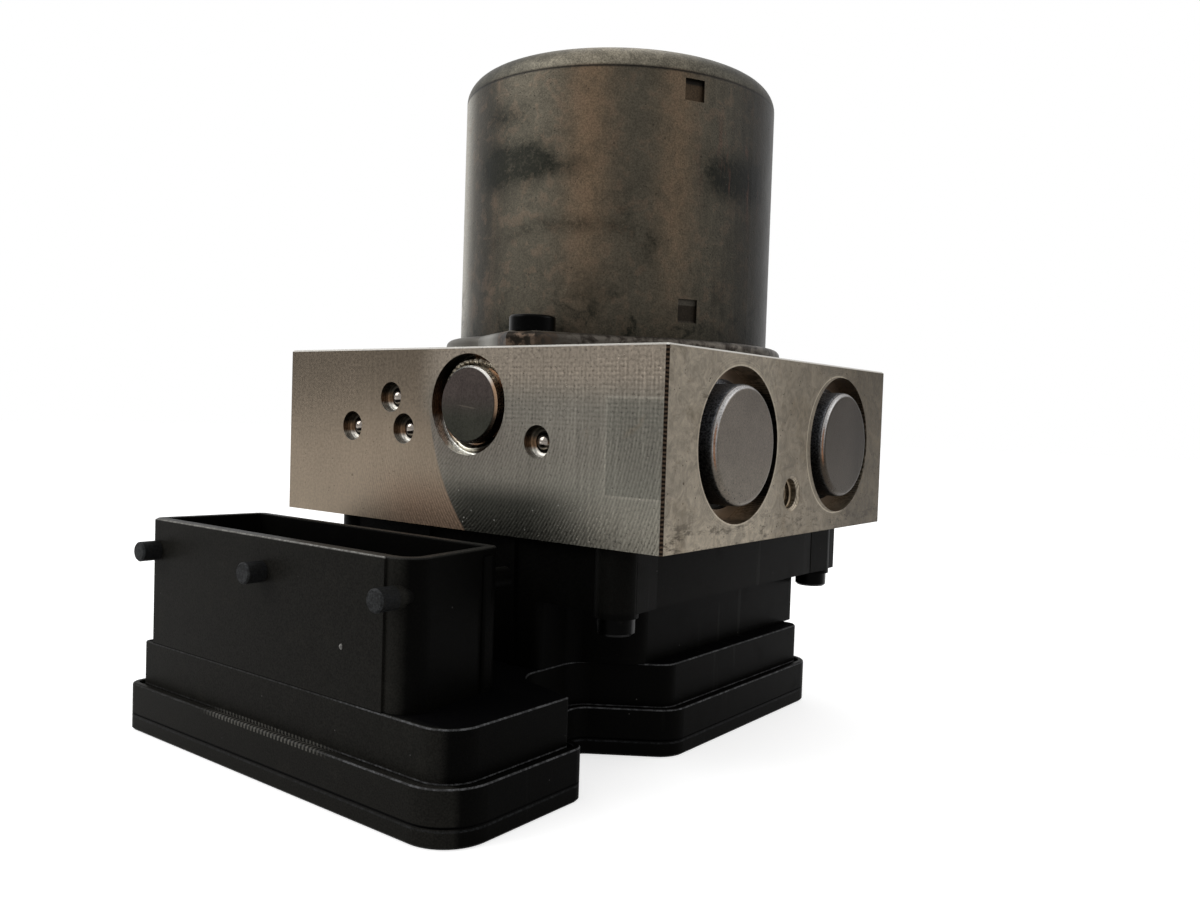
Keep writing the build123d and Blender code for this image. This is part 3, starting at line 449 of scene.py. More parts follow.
def block_material(colours, sizes):
    """Milled aluminium: two passes of a mill on the front, the second coloured with a painted reflection, a
    duller cap face, stains, pits, dark edges, a painted highlight along the top edge, painted shade on the
    front and painted light on the right face.
    """
    r = Recipe("block_aluminium")
    x, y, z = r.x, r.y, r.z
    front = y.rise(block_low.y + 0.15, block_low.y + 0.05)
    rear = y.rise(block_high.y - 0.15, block_high.y - 0.05)
    right = x.rise(block_high.x - 0.15, block_high.x - 0.05)
    left = x.rise(block_low.x + 0.15, block_low.x + 0.05)
    under = z.rise(block_low.z + 0.1, block_low.z)
    top_edge = z.rise(block_high.z - 0.42, block_high.z - 0.38)
    edge_run = x.rise(block_high.x - 0.62, block_high.x - 0.5) * y.rise(block_low.y + 0.62, block_low.y + 0.5)
    inside = 1 - (front + right + rear + left + top_edge + edge_run + under).clamped()

    # Marks of the face mill
    cloud = r.noise(38, 4, 0.6)
    fine = r.noise(1500, 2, 0.65).rise(0.3, 0.7)
    tool = reach_of(x - sizes.mill_x / MM, z - sizes.mill_z / MM)
    mill_radius, pitch = sizes.mill_radius / MM, sizes.mill_pitch / MM
    crisp, fading = (tool.rise(mill_radius + soft, mill_radius - soft) for soft in (0.2, 5))
    # The mill's second pass: its marks are the mill's, its colour is largely a painted reflection.
    second = (crisp + (fading - crisp) * z.rise(69, 75)) * front
    first = front - second
    arcs = reach_of(x - sizes.return_x / MM, z - sizes.return_z / MM).wave(pitch / 0.72, fine * 1.2)
    inner_arcs = tool.wave(pitch / 0.75, fine * 1.4)
    steps = z.wave(pitch / 0.62, r.noise(90, 1) * 2)
    ribs = x.wave(pitch / 0.6, r.noise(70, 1) * 2)
    low_arcs = arcs * z.rise(76, 66) * (0.7 + 1.2 * r.noise(45, 2))
    cross = low_arcs + (steps + ribs) * 0.7 * z.band(70, 84, 3) * x.rise(-6, 6)
    marks = second * cross + first * inner_arcs * z.rise(70, 54) * x.rise(-44, -26)
    brushed = r.noise(1000, 2, 0.6, r.stretched((1, 1, 0.035)))
    streak = second + first * 0.4

    # Colours of the faces, then what lies on them
    cap_y, cap_z = accumulator_line()
    cap_up = z - cap_z
    from_cap = reach_of(y.absolute() - cap_y, cap_up)
    arc_lines = from_cap.wave(0.55) * from_cap.rise(20.5, 17)
    body = r.mix(second, first_pass(r, colours), second_pass_and_reflection(r, colours, second, cloud))
    body = r.mix(right, body, cap_face(r, colours, from_cap))
    body = r.mix(brushed.rise(0.55, 0.75) * 0.3 * streak, body, r.tinted(body, 1.35))
    stain = r.noise(110, 3, 0.6, warp=0.6).rise(0.64, 0.76)
    pits = (r.specks(900, 0.22, 0.42) + r.specks(260, 0.12, 0.4) * 1.2).clamped()
    clear = 1 - z.rise(66, 74) * x.rise(4, 14) * front * 0.92
    grime = r.noise(420, 4, 0.75, r.stretched((1, 0.35, 1))).rise(0.5, 0.66) * right * z.rise(57.5, 49)
    scrape = r.noise(330, 4, 0.7, r.stretched((1, 0.12, 1))).rise(0.64, 0.7) * right
    lint = r.specks(620, 0.14, 0.45) * z.rise(62, 50) * second
    body = r.coats(
        body,
        (stain * 0.4, (0.18, 0.14, 0.095)),
        (pits * (0.36 + right * 0.42) * clear, (0.05, 0.038, 0.026)),
        (grime * 0.85, (0.04, 0.03, 0.02)),
        (scrape * 0.6, (0.05, 0.036, 0.024)),
        (lint * 0.7, (0.8, 0.78, 0.72)),
    )
    # Tone from clouds, mill marks and grain, with painted shade on the front and painted light on the right
    # face.
    shade = (0.82 + cloud * 0.36 + marks * 0.11 + arc_lines * right * 0.1 + (fine - 0.5) * 0.26
             + (brushed - 0.5) * 0.5 * streak - front * 0.08 + right * 0.12)
    dashes = z.wave(0.85, r.noise(500, 2) * 5).rise(-0.2, 0.5)
    rings = y.wave(0.5) * 0.25 + 0.75
    body = r.coats(
        r.tinted(body, shade),
        (edge_run, r.mix(dashes, (0.01, 0.008, 0.006), (0.075, 0.05, 0.034))),
        # Painted highlight along the block's top edge.
        (top_edge * 0.95, r.mix(right, (0.56, 0.54, 0.5), (0.36, 0.33, 0.28))),
        (inside, r.tinted(bore_walls(r, from_cap, cap_up), rings * (0.7 + fine * 0.6))),
    )
    rough = 0.27 + fine * 0.14 + right * 0.16 + pits * 0.25 + first * 0.05 + inside * 0.06
    relief = marks * 0.5 + fine * 0.6 + brushed * 0.6 * streak - pits * 1.6 + rings * inside * 2
    return r.finish(body, rough, 0.95, relief, 0.02)


def rubbed_marks(r, azimuth, blotch, mottle):
    """How dark the can is rubbed: broken rings at three heights, blobs, low blots and the foot."""
    z = r.z
    wander = z + (r.noise(48, 2) - 0.5) * 5
    ragged = azimuth + (r.noise(300, 5, 0.8) - 0.5) * 16
    ring = wander.bell(130, 5) * ragged.band(-107, -78, 7)
    ring = ring + wander.bell(128.4, 2.2) * ragged.band(-82, -64, 7) * 0.45
    ring = ring + wander.bell(128.6, 4.8) * ragged.band(-22, 9, 8)
    ring = ring + wander.bell(129, 4) * ragged.band(60, 120, 8)
    faint = wander.bell(141, 2.8) * ragged.band(-104, -86, 5) * 0.9
    arch = wander + ((azimuth + 68) / 30).squared() * 3.6
    arched = arch.bell(115.8, 1.9) * ragged.band(-104, -38, 6) * mottle.rise(0.1, 0.6)
    blob = z.bell(110.5, 3.6) * ragged.bell(-42, 3.4) + z.bell(118, 2.4) * ragged.bell(-50, 2) * 0.8
    low_blot = blotch.rise(0.5, 0.64) * z.rise(113, 95) * 0.7
    rings = (ring * 1.3).clamped() * 1.35 + faint + arched * 0.7 * blotch.rise(0.3, 0.55)
    return rings + blob * 0.55 + low_blot + z.rise(101, 91) * 0.55


def dimple_floor(r, azimuth):
    """Colour of the floors of the can's pressed dimples, upper and lower, each with painted light and shade.
    """
    z = r.z
    upper = r.coats(
        (0.046, 0.03, 0.017),
        (z.rise(143.2, 142.7), (0.12, 0.105, 0.08)),
        ((z.rise(146.9, 147.5) + azimuth.rise(-23.4, -22.8)).clamped(), (0.004, 0.003, 0.002)),
    )
    lower = r.coats(
        (0.017, 0.013, 0.009),
        (z.rise(98.4, 98.8), (0.058, 0.052, 0.042)),
        (z.rise(95.3, 94.9), (0.045, 0.038, 0.029)),
    )
    return r.mix(z.rise(120, 125), lower, upper)


def can_material(colours):
    """Deep-drawn steel with an olive patina: brown bands, dark rubbed rings, specks and a dull crown, with
    painted highlights on the left edge and on the crown's front, and painted shade on the side away from the
    light and in the crown's crease.
    """
    r = Recipe("can_steel")
    x, y, z = r.x, r.y, r.z
    azimuth = y.math("ARCTAN2", x) * (180 / math.pi)
    crown = z.rise(can_high.z - 7.6, can_high.z - 6.6)
    crease = z.bell(can_high.z - 7.35, 0.3)
    dimple = reach_of(x, y).rise(38.55, 38.35) * z.rise(can_high.z - 7.5, can_high.z - 8)
    cloud = r.noise(34, 4, 0.62)
    blotch = r.noise(95, 5, 0.65, warp=0.5)
    mottle = r.noise(300, 4, 0.65, warp=0.4).rise(0.3, 0.7)
    grain = r.noise(2600, 3, 0.65).rise(0.3, 0.7)
    run = r.noise(110, 3, 0.6, r.stretched((1, 1, 0.08)))

    # Patina, a painted highlight along its left edge with a darker band just inside it, and the brown bands
    warm = (azimuth.bell(-63, 7.5) + azimuth.bell(-34, 6.5) * 0.8).clamped()
    warm = warm * (z.rise(90, 128) * 0.75 + 0.25)
    body = r.mix(cloud.rise(0.3, 0.75), colours.can_olive, r.tinted(colours.can_olive, 0.76))
    hatch = 0.2 + r.noise(900, 4, 0.8).rise(0.25, 0.75) * 0.7 + run * 0.6
    dark = rubbed_marks(r, azimuth, blotch, mottle) * hatch
    body = r.coats(
        r.tinted(body, 1 - azimuth.bell(-106, 10) * 0.5),
        (azimuth.rise(-113, -130) * azimuth.rise(-166, -142) * 0.95, (0.42, 0.405, 0.355)),
        ((warm * (0.35 + run * 0.5 + mottle * 0.4)).clamped(), colours.can_brown),
        (run.rise(0.52, 0.72) * 0.25, (0.15, 0.105, 0.07)),
        (mottle.rise(0.55, 0.9) * 0.35, (0.12, 0.082, 0.056)),
        ((dark * 0.94).clamped(), (0.011, 0.011, 0.007)),
    )

    # The side away from the light in painted shade, a rub, specks, the crown with a painted highlight on its
    # front and painted shade on its right, the crease in painted shade, and the dimples
    back = azimuth.rise(110, 70)
    body = r.tinted(body, (1 - azimuth.rise(-38, 4) * back * 0.7) * (1 - azimuth.rise(0, 16) * back * 0.45))
    rub = r.noise(260, 4, 0.7, r.stretched((1, 1, 0.18))).rise(0.56, 0.68) * azimuth.band(-24, 6, 6)
    specks = (r.specks(1000, 0.2, 0.48) + r.specks(330, 0.12, 0.42)).clamped()
    crown_lit_colour = r.coats(
        (0.048, 0.045, 0.035),
        (azimuth.bell(-55, 28), (0.185, 0.166, 0.128)),
        (azimuth.rise(-20, 20), (0.05, 0.045, 0.036)),
    )
    body = r.coats(
        body,
        (rub * z.bell(130, 9) * 0.6, (0.095, 0.045, 0.032)),
        (specks * 0.55, (0.022, 0.019, 0.014)),
        (r.specks(620, 0.08, 0.4) * 0.35, (0.3, 0.27, 0.22)),
        (crown * 0.9, r.tinted(crown_lit_colour, 0.75 + mottle * 0.3 + grain * 0.3)),
        (crease * 0.95, (0.012, 0.01, 0.008)),
        (dimple * 0.95, dimple_floor(r, azimuth)),
    )
    streaks = r.noise(800, 3, 0.7, r.stretched((1, 1, 0.04))).rise(0.3, 0.7) * azimuth.rise(-40, -10)
    body = r.tinted(body, 0.45 + blotch * 0.36 + mottle * 0.22 + grain * 0.5 - streaks * 0.22)
    rough = 0.38 + blotch * 0.14 + specks * 0.15 + crown * 0.06
    relief = grain * 0.35 + mottle * 0.8 + run * 0.4 - specks * 1 - crease
    return r.finish(body, rough, 0.85, relief, 0.025)


def ball_material(colours):
    """The pressed-in balls: polished steel with a painted reflection, a darker top, a dark low band and a
    brownish bottom, and painted shade as a black ring where they meet the bore.
    """
    r = Recipe("ball_steel")
    grain = r.noise(1400, 2, 0.6)
    reach, up = near_balls(r)
    body = r.coats(
        r.tinted(colours.steel_grey, 1.5 + grain * 0.4),
        (up.band(-1.25, -0.55, 0.2), (0.012, 0.01, 0.008)),
        (up.rise(-1.25, -1.45), (0.11, 0.09, 0.066)),
        (up.rise(1, 1.5), (0.06, 0.052, 0.044)),
        (reach.rise(1.55, 1.75), (0.006, 0.005, 0.004)),
    )
    return r.finish(body, 0.16 + grain * 0.08, 0.95, grain, 0.01)


def plate_material():
    """The motor's seat plate: bright where it is clean, brown and scratched on the front ear, with a painted
    highlight along the ear's top edge.
    """
    r = Recipe("plate_steel")
    x, y = r.x, r.y
    mottle = r.noise(420, 4, 0.7, warp=0.4)
    cloud = r.noise(70, 3, 0.6)
    clean = r.mix(cloud.rise(0.4, 0.7), (0.115, 0.108, 0.092), (0.064, 0.058, 0.05))
    clean = r.mix(x.rise(6, -2) * y.rise(-40, -47), clean, (0.29, 0.284, 0.262))
    ear_dirt_and_highlight = r.mix(mottle.rise(0.45, 0.6), (0.012, 0.009, 0.006), (0.085, 0.06, 0.043))
    # Lighter along the ear's top edge: painted highlight.
    ear_dirt_and_highlight = r.mix(r.z.rise(90.5, 90.8), ear_dirt_and_highlight, (0.2, 0.175, 0.14))
    flank = r.mix(mottle.rise(0.4, 0.62), (0.11, 0.097, 0.082), (0.024, 0.019, 0.015))
    body = r.coats(
        clean,
        ((y.rise(-38, -46) * x.rise(4.5, 6)).clamped(), ear_dirt_and_highlight),
        (x.rise(14, 24), flank),
    )
    return r.finish(r.tinted(body, 0.7 + mottle * 0.6), 0.38 + mottle * 0.2, 0.9, mottle, 0.05)


def steel_material(name, colours, tint, dirt):
    """Turned steel of the inner parts: grain, soft clouds and dark pits."""
    r = Recipe(name)
    grain = r.noise(1400, 2, 0.6)
    cloud = r.noise(60, 3, 0.6)
    pits = (r.specks(420, 0.16, 0.44) + r.specks(900, 0.2, 0.4)).clamped()
    light, dark = (r.tinted(colours.steel_grey, tint * share) for share in (1, 0.75))
    body = r.mix(cloud.rise(0.3, 0.75), light, dark)
    body = r.mix(pits * dirt, r.tinted(body, 0.85 + grain * 0.3), (0.018, 0.015, 0.012))
    return r.finish(body, 0.33 + grain * 0.12 + pits * 0.2, 0.95, grain - pits * 1.5, 0.015)


def cap_material():
    """Pressed steel caps: even grey face, the farther cap darker and browner as painted shade, a bevel with a
    painted highlight on its upper left, a skirt painted light and bluish above and dark below, pits low down.
    """
    r = Recipe("cap_steel")
    x, y = r.x, r.y
    half_pitch, centre_z = accumulator_line()
    high = box_mm("accumulator_cap_front")[1].x
    farther = y.rise(-0.5, 0.5)
    offset = y + half_pitch - farther * (2 * half_pitch)
    up = r.z - centre_z
    grain = r.noise(2300, 3, 0.7).rise(0.3, 0.7)
    mottle = r.noise(420, 4, 0.65)
    cloud = r.noise(75, 3, 0.6)
    body = r.coats(
        (0.112, 0.096, 0.081),
        (cloud.rise(0.3, 0.75), (0.14, 0.12, 0.101)),
        (up.rise(0, -8) * 0.6, (0.165, 0.143, 0.116)),
        (offset.rise(4, -9) * up.rise(8, -6) * 0.4, (0.165, 0.145, 0.12)),
    )
    # The farther cap darkened: painted shade.
    body = r.tinted(body, 1 - farther * 0.6 - offset.rise(2, 10) * farther * 0.25)
    bevel = x.band(high - 0.75, high - 0.12, 0.08)
    line = x.band(high - 0.55, high - 0.25, 0.06) * up.band(-4, 4, 1.5) * offset.rise(-8, -11)
    skirt = r.coats(
        (0.04, 0.038, 0.035),
        (up.rise(-4, 8), (0.17, 0.175, 0.19)),
        (up.rise(9, 12), (0.28, 0.285, 0.3)),
    )
    foot = up.rise(-5, -11)
    small, large = r.specks(1100, 0.28, 0.55), r.specks(420, 0.18, 0.48)
    pits = (small * (0.15 + foot * 0.85) + large * foot * 1.6).clamped()
    # Painted highlight on the bevel's upper left; the skirt painted light above and dark below; the farther
    # cap browner as painted shade.
    body = r.coats(
        body,
        (farther * 0.45, (0.042, 0.03, 0.02)),
        (bevel * (up * 0.75 - offset * 0.65).rise(3.5, 9.5) * 0.9, (0.4, 0.392, 0.388)),
        (line * 0.85, (0.3, 0.15, 0.08)),
        (x.rise(high - 0.8, high - 1.05), r.tinted(skirt, 0.5 + grain)),
        (pits * 0.85, (0.014, 0.01, 0.008)),
    )
    body = r.tinted(body, 0.52 + grain * 0.5 + mottle * 0.46)
    relief = grain * 0.7 + mottle * 0.5 - pits * 2
    return r.finish(body, 0.4 + grain * 0.1 - bevel * 0.14, 0.95, relief, 0.02)


def plug_material():
    """The pump plug: dark face, purple-brown above and greenish below, a short scratch, and a rim with a
    painted highlight only from the top to the right."""
    r = Recipe("plug_steel")
    x, up = r.x, above_plug(r)
    grain = r.noise(2300, 3, 0.7).rise(0.3, 0.7)
    cloud = r.noise(160, 4, 0.65)
    body = r.mix(up.rise(-4, 3), (0.03, 0.03, 0.023), (0.052, 0.041, 0.037))
    scratch = (up + x * 0.12).bell(-0.55, 0.14) * x.band(-2.7, 2.4, 0.8)
    old_ring = reach_of(x, up - 1.4).bell(3.1, 0.25) * up.rise(0.5, 2.5)
    rim = reach_of(x, up).rise(7.95, 8.15)
    lit_colour = r.mix(x.rise(5.5, 7.6), (0.78, 0.76, 0.71), (0.42, 0.27, 0.17))
    rim_colour = r.mix((x * 0.5 + up * 0.86).rise(1, 4.5), (0.036, 0.026, 0.018), lit_colour)
    body = r.coats(
        r.tinted(body, 0.5 + cloud * 0.6 + grain * 0.4),
        (scratch * 0.3, (0.15, 0.125, 0.1)),
        (old_ring * 0.3, (0.034, 0.026, 0.024)),
        (rim, rim_colour),
    )
    return r.finish(body, 0.33 + grain * 0.16 - rim * 0.1, 0.95, grain - scratch, 0.015)


def staked_material():
    """The staked ring round a pump plug: chewed and bright low on the left, brown on the left, black in the
    plug's shadow on the right."""
    r = Recipe("staked_aluminium")
    x, up = r.x, above_plug(r)
    grain = r.noise(1500, 3, 0.65)
    chewed = r.noise(700, 4, 0.75)
    bright = r.mix(chewed.rise(0.36, 0.5), (0.06, 0.05, 0.035), (0.64, 0.6, 0.5))
    body = r.coats(
        (0.085, 0.066, 0.046),
        (chewed.rise(0.4, 0.62), (0.4, 0.36, 0.29)),
        ((-x).rise(3, 8) * up.rise(6, -1) * 0.75, (0.22, 0.11, 0.055)),
        ((-up).rise(7, 9) * x.rise(3, -1), bright),
        ((x * 0.8 - up * 0.35).rise(1.5, 6) * 0.97, (0.005, 0.004, 0.003)),
    )
    return r.finish(r.tinted(body, 0.8 + grain * 0.4), 0.3 + grain * 0.1, 1, grain, 0.02)


def plastic_material(name, colours):
    """Black glass-filled plastic: fine grain, olive dust on the connector's front, scuffs, painted light on
    the front and the deck's right wall, painted shade on the ledge, and painted highlights along rims and
    edges, broken up by chips of wear.
    """
    r = Recipe(name)
    x, y, z = r.x, r.y, r.z
    grain = r.noise(3000, 3, 0.7).rise(0.3, 0.7)
    cloud = r.noise(26, 3, 0.6)
    dust = r.noise(150, 4, 0.7).rise(0.5, 0.85)
    scuff = r.noise(240, 2, 0.5, r.stretched((0.08, 1, 0.08), (0, 0, 0.5))).rise(0.67, 0.73)
    chips = r.noise(900, 3, 0.7).rise(0.42, 0.62)
    front = y.rise(-89, -90.5)
    deck = z.rise(34, 35) * x.rise(34, 38)
    ledge = z.band(LEDGE_TOP - 0.02, LEDGE_TOP + 0.1, 0.015)

    # Painted highlight lines along the edges, broken up by chips of wear, from the connector's rim down to
    # the seam with the cover
    rim = z.rise(housing_high.z - 0.4, housing_high.z - 0.1) * y.rise(-60, -63)
    outer = (y.rise(housing_low.y + 4.95, housing_low.y + 4.6) + x.rise(25.6, 26)).clamped()
    band_edge_highlight = z.band(LEDGE_TOP - 0.38, LEDGE_TOP - 0.1, 0.05) * (0.4 + chips * 0.6)
    flange_edge_highlight = z.band(FLANGE_TOP - 0.38, FLANGE_TOP - 0.1, 0.05) * (0.35 + chips * 0.65)
    seam = housing_low.z
    seam_highlight = z.band(seam - 0.85, seam - 0.45, 0.08) * (0.3 + chips * 0.7)
    pins = y.rise(housing_low.y + 4.35, housing_low.y + 4.2) + x.rise(-59.2, -59.5)
    pins = pins.clamped() * z.rise(29, 31)
    tips = pins * y.rise(housing_low.y + 0.55, housing_low.y + 0.35)
    back_pin = y.band(-64, -58, 0.2) * x.band(-6, 12, 1) * z.band(30, 44, 1)
    knurl = x.wave(1.1).rise(0, 0.4) * z.band(FLANGE_TOP - 0.9, FLANGE_TOP, 0.1) * y.rise(-89, -91)
    body = r.coats(
        # Painted light: the connector's front and the deck's right wall made lighter than the rest.
        r.tinted(colours.plastic, 0.4 + cloud * 0.5 + front * 3.6 + deck * 0.8),
        # Painted shade: the ledge's top made near black.
        (ledge * 0.8, (0.0006, 0.0006, 0.0009)),
        (dust * (0.01 + front * 0.08), (0.06, 0.056, 0.046)),
        (scuff * 0.04, (0.09, 0.088, 0.08)),
        (rim * (0.06 + outer * (0.5 + chips * 0.5)), (0.2, 0.195, 0.182)),
        ((band_edge_highlight + flange_edge_highlight).clamped() * (x.rise(2, 16) * 0.7 + 0.3), (0.075, 0.076, 0.078)),
        (seam_highlight * 0.5, (0.03, 0.031, 0.033)),
        (z.band(seam - 0.25, seam + 0.2, 0.08), (0.0003, 0.0003, 0.0003)),
        (pins * (0.5 + chips * 0.3), (0.011, 0.0115, 0.0125)),
        (tips * (0.4 + chips * 0.6), (0.03, 0.031, 0.032)),
        (back_pin * (0.15 + chips * 0.85), (0.16, 0.155, 0.145)),
        (knurl * x.band(-30, 6, 4), (0.08, 0.077, 0.068)),
        (r.specks(420, 0.08, 0.38) * 0.35, (0.15, 0.146, 0.138)),
    )
    body = r.tinted(body, 0.65 + grain * 0.7)
    rough = 0.36 + grain * 0.08 + dust * 0.12 - scuff * 0.05 + ledge * 0.45
    return r.finish(body, rough, 0, grain * 0.6 + scuff * 0.5, 0.015, specular=0.02)


def screw_material(name, dark):
    """Screw finish: black oxide with worn edges, or dull zinc under black grime."""
    r = Recipe(name)
    grain = r.noise(1300, 3, 0.6)
    wear = r.noise(420, 3, 0.7).rise(0.6, 0.8)
    base = (0.0003, 0.0003, 0.0003) if dark else (0.0006, 0.0006, 0.0005)
    worn = (0.006, 0.0055, 0.005) if dark else (0.009, 0.0085, 0.0075)
    body = r.mix(wear * 0.4, base, worn)
    return r.finish(body, 0.24 + grain * 0.14, 0.5, grain, 0.02, specular=0.08)


def metal_material(name, base, rough, scale=700, metal=1):
    """A plain metal: grain and soft clouds."""
    r = Recipe(name)
    grain = r.noise(scale, 3, 0.6)
    cloud = r.noise(90, 3, 0.6)
    body = r.mix(cloud.rise(0.3, 0.8), base, r.tinted(base, 0.7))
    body = r.tinted(body, 0.85 + grain * 0.3)
    return r.finish(body, rough + grain * 0.1, metal, grain, 0.02)


def winding_material(name, base):
    """Enamelled wire: fine turns as ridges across the coil's upright axis, darker between the turns as
    painted shade.
    """
    r = Recipe(name)
    turns = r.z.wave(0.42, r.noise(160, 2) * 1.5)
    gloss = r.noise(240, 3, 0.6)
    body = r.mix(turns.rise(-0.9, 0.2), r.tinted(base, 0.35), base)
    body = r.tinted(body, 0.8 + gloss * 0.4)
    return r.finish(body, 0.28 + gloss * 0.12, 0.85, turns, 0.05)


def board_material():
    """Green solder resist with copper tracks under it and bright pads."""
    r = Recipe("board")
    tracks = r.cells(420, feature="DISTANCE_TO_EDGE").rise(0.05, 0.09)
    pads = r.specks(300, 0.22, 0.45)
    weave = r.x.wave(1.27) * r.y.wave(1.27) * 0.5
    body = r.mix(tracks, (0.02, 0.12, 0.045), (0.008, 0.062, 0.026))
    body = r.mix(pads, body, (0.52, 0.5, 0.44))
    return r.finish(body, 0.32 - tracks * 0.05, 0, pads + weave * 0.2 - tracks * 0.5, 0.03)


def moulded_material(name, base, rough=0.5):
    """Moulded plastic or rubber: grain and soft flow marks."""
    r = Recipe(name)
    grain = r.noise(1700, 2, 0.6)
    flow = r.noise(70, 3, 0.6, r.stretched((1, 1, 0.3)))
    body = r.tinted(base, 0.75 + flow * 0.5)
    return r.finish(body, rough + grain * 0.12, 0, grain, 0.02, specular=0.4)


def component_material():
    """Board components: black epoxy bodies, with bright tops on the round capacitors."""
    r = Recipe("component")
    grain = r.noise(900, 3, 0.6)
    top = r.z.rise(17, 17.4)
    body = r.mix(top, (0.018, 0.018, 0.02), (0.42, 0.42, 0.43))
    body = r.tinted(body, 0.8 + grain * 0.4)
    return r.finish(body, 0.38 + grain * 0.12, top * 0.9, grain, 0.02)


def close_mesh(mesh):
    """Joins points that coincide and turns all the normals outwards."""
    shell = bmesh.new()
    shell.from_mesh(mesh)
    bmesh.ops.remove_doubles(shell, verts=shell.verts, dist=1e-7)
    bmesh.ops.recalc_face_normals(shell, faces=shell.faces)
    shell.to_mesh(mesh)
    shell.free()


def placed(name, data):
    """A new object with this data, linked to the scene."""
    made = bpy.data.objects.new(name, data)
    bpy.context.scene.collection.objects.link(made)
    return made


def piece_from_grid(name, points, material, wrap_rows=False, wrap_columns=False):
    """A closed surface from a grid of points: quads between neighbours, rings closed where asked, and the
    open ends of a tube shut with one face each."""
    rows, columns = points.shape[:2]
    index = grid = np.arange(rows * columns).reshape(rows, columns)
    if wrap_rows:
        grid = np.concatenate([grid, grid[:1]], axis=0)
    if wrap_columns:
        grid = np.concatenate([grid, grid[:, :1]], axis=1)
    quads = np.stack([grid[:-1, :-1], grid[1:, :-1], grid[1:, 1:], grid[:-1, 1:]], axis=-1).reshape(-1, 4)
    faces = quads.tolist()
    if wrap_columns and not wrap_rows:
        faces += [index[0].tolist(), index[-1].tolist()]
    mesh = bpy.data.meshes.new(name)
    mesh.from_pydata(points.reshape(-1, 3).tolist(), [], faces)
    close_mesh(mesh)
    mesh.shade_smooth()
    mesh.materials.append(material)
    piece = placed(name, mesh)
    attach(piece, "module")


def turned_frame(axis):
    """Two directions square to an axis and to each other, and the axis itself, as rows."""
    axis = np.array(axis, float)
    side = np.array((0.0, 0.0, 1.0)) if abs(axis[2]) < 0.5 else np.array((1.0, 0.0, 0.0))
    return np.stack([side, np.cross(axis, side), axis])


def round_points(centre, axis, angle, radius, rise):
    """Points round an axis: each lies at centre + R (cos a, sin a) square to the axis + H along it."""
    radius, rise = np.broadcast_arrays(radius, rise)
    local = np.stack([radius * np.cos(angle), radius * np.sin(angle), rise], axis=-1)
    return local @ turned_frame(axis) + np.array(centre, float)


def full_turn(rows):
    """Angles of so many rows of points, evenly round a circle."""
    return np.linspace(0.0, TURN, rows, endpoint=False)[:, None]


def thread_points(centre, axis, radius, pitch, run, depth):
    """A thread's ridge: a wedge whose base lies in the bore's wall and whose crest stands in by the depth,
    carried along a helix of that pitch and faded in and out over its first and last half turns."""
    turns = run / pitch
    angle = np.linspace(0.0, TURN * turns, int(turns * 40))[:, None]
    fade = np.clip(np.minimum(angle, angle[-1] - angle) / np.pi, 0.02, 1.0)
    inward = np.array([[-0.06 * MM, depth, depth, -0.06 * MM]])
    along = np.array([[-0.46, -0.06, 0.06, 0.46]]) * pitch
    reach = radius - np.where(inward > 0, inward * fade, inward)
    return round_points(centre, axis, angle, reach, -pitch * 0.5 - angle / TURN * pitch + along * fade)


def staked_points(centre, axis, sizes, seed):
    """The metal pressed over a pump plug: a half round ridge between two radii, H = h sin(pi t), whose height
    and inner edge vary round the ring as a sum of waves, with fine teeth on one side."""
    angle = full_turn(220)
    around = np.linspace(0.0, 1.0, 14)[None, :]
    lumps = 0.72 + 0.20 * np.sin(3.0 * angle + seed) + 0.08 * np.sin(7.0 * angle + 2.1 * seed)
    teeth = 0.10 * np.sin(46.0 * angle) * np.clip(np.cos(angle - 0.4 - seed) + 0.3, 0.0, 1.0)
    inner = sizes.stake_inner + 0.20 * MM * np.sin(5.0 * angle + seed)
    upper = np.clip(around * 2.0, 0.0, 1.0)
    radius = inner + (sizes.stake_outer - inner) * np.where(around < 0.5, upper, 2.0 - around * 2.0)
    rise = np.where(around < 0.5, sizes.stake_height * np.sin(np.pi * upper) * (lumps + teeth), -0.05 * MM)
    return round_points(centre, axis, angle, radius, rise)


def nub_points(centre, axis, size):
    """A low dome torn off at its gate: radius falls as cos t while it rises as sin t, pinched by a wave."""
    angle = full_turn(24)
    t = np.linspace(0.0, np.pi / 2.0, 8)[None, :]
    radius = size * np.cos(t) * (1.0 + 0.25 * np.cos(2.0 * angle))
    rise = size * 0.9 * np.sin(t) * (1.0 + 0.2 * np.cos(angle)) - 0.05 * MM
    return round_points(centre, axis, angle, radius, rise)


class BRAKE_OT_block(bpy.types.Operator):
    """Finish of the hydraulic block"""

    bl_idname = "brake_module.block"
    bl_label = "Block"

    def execute(self, context):
        colours, sizes = context.scene.brake_colours, context.scene.brake_sizes
        dress(block_material(colours, sizes), "hydraulic_block")
        return {"FINISHED"}


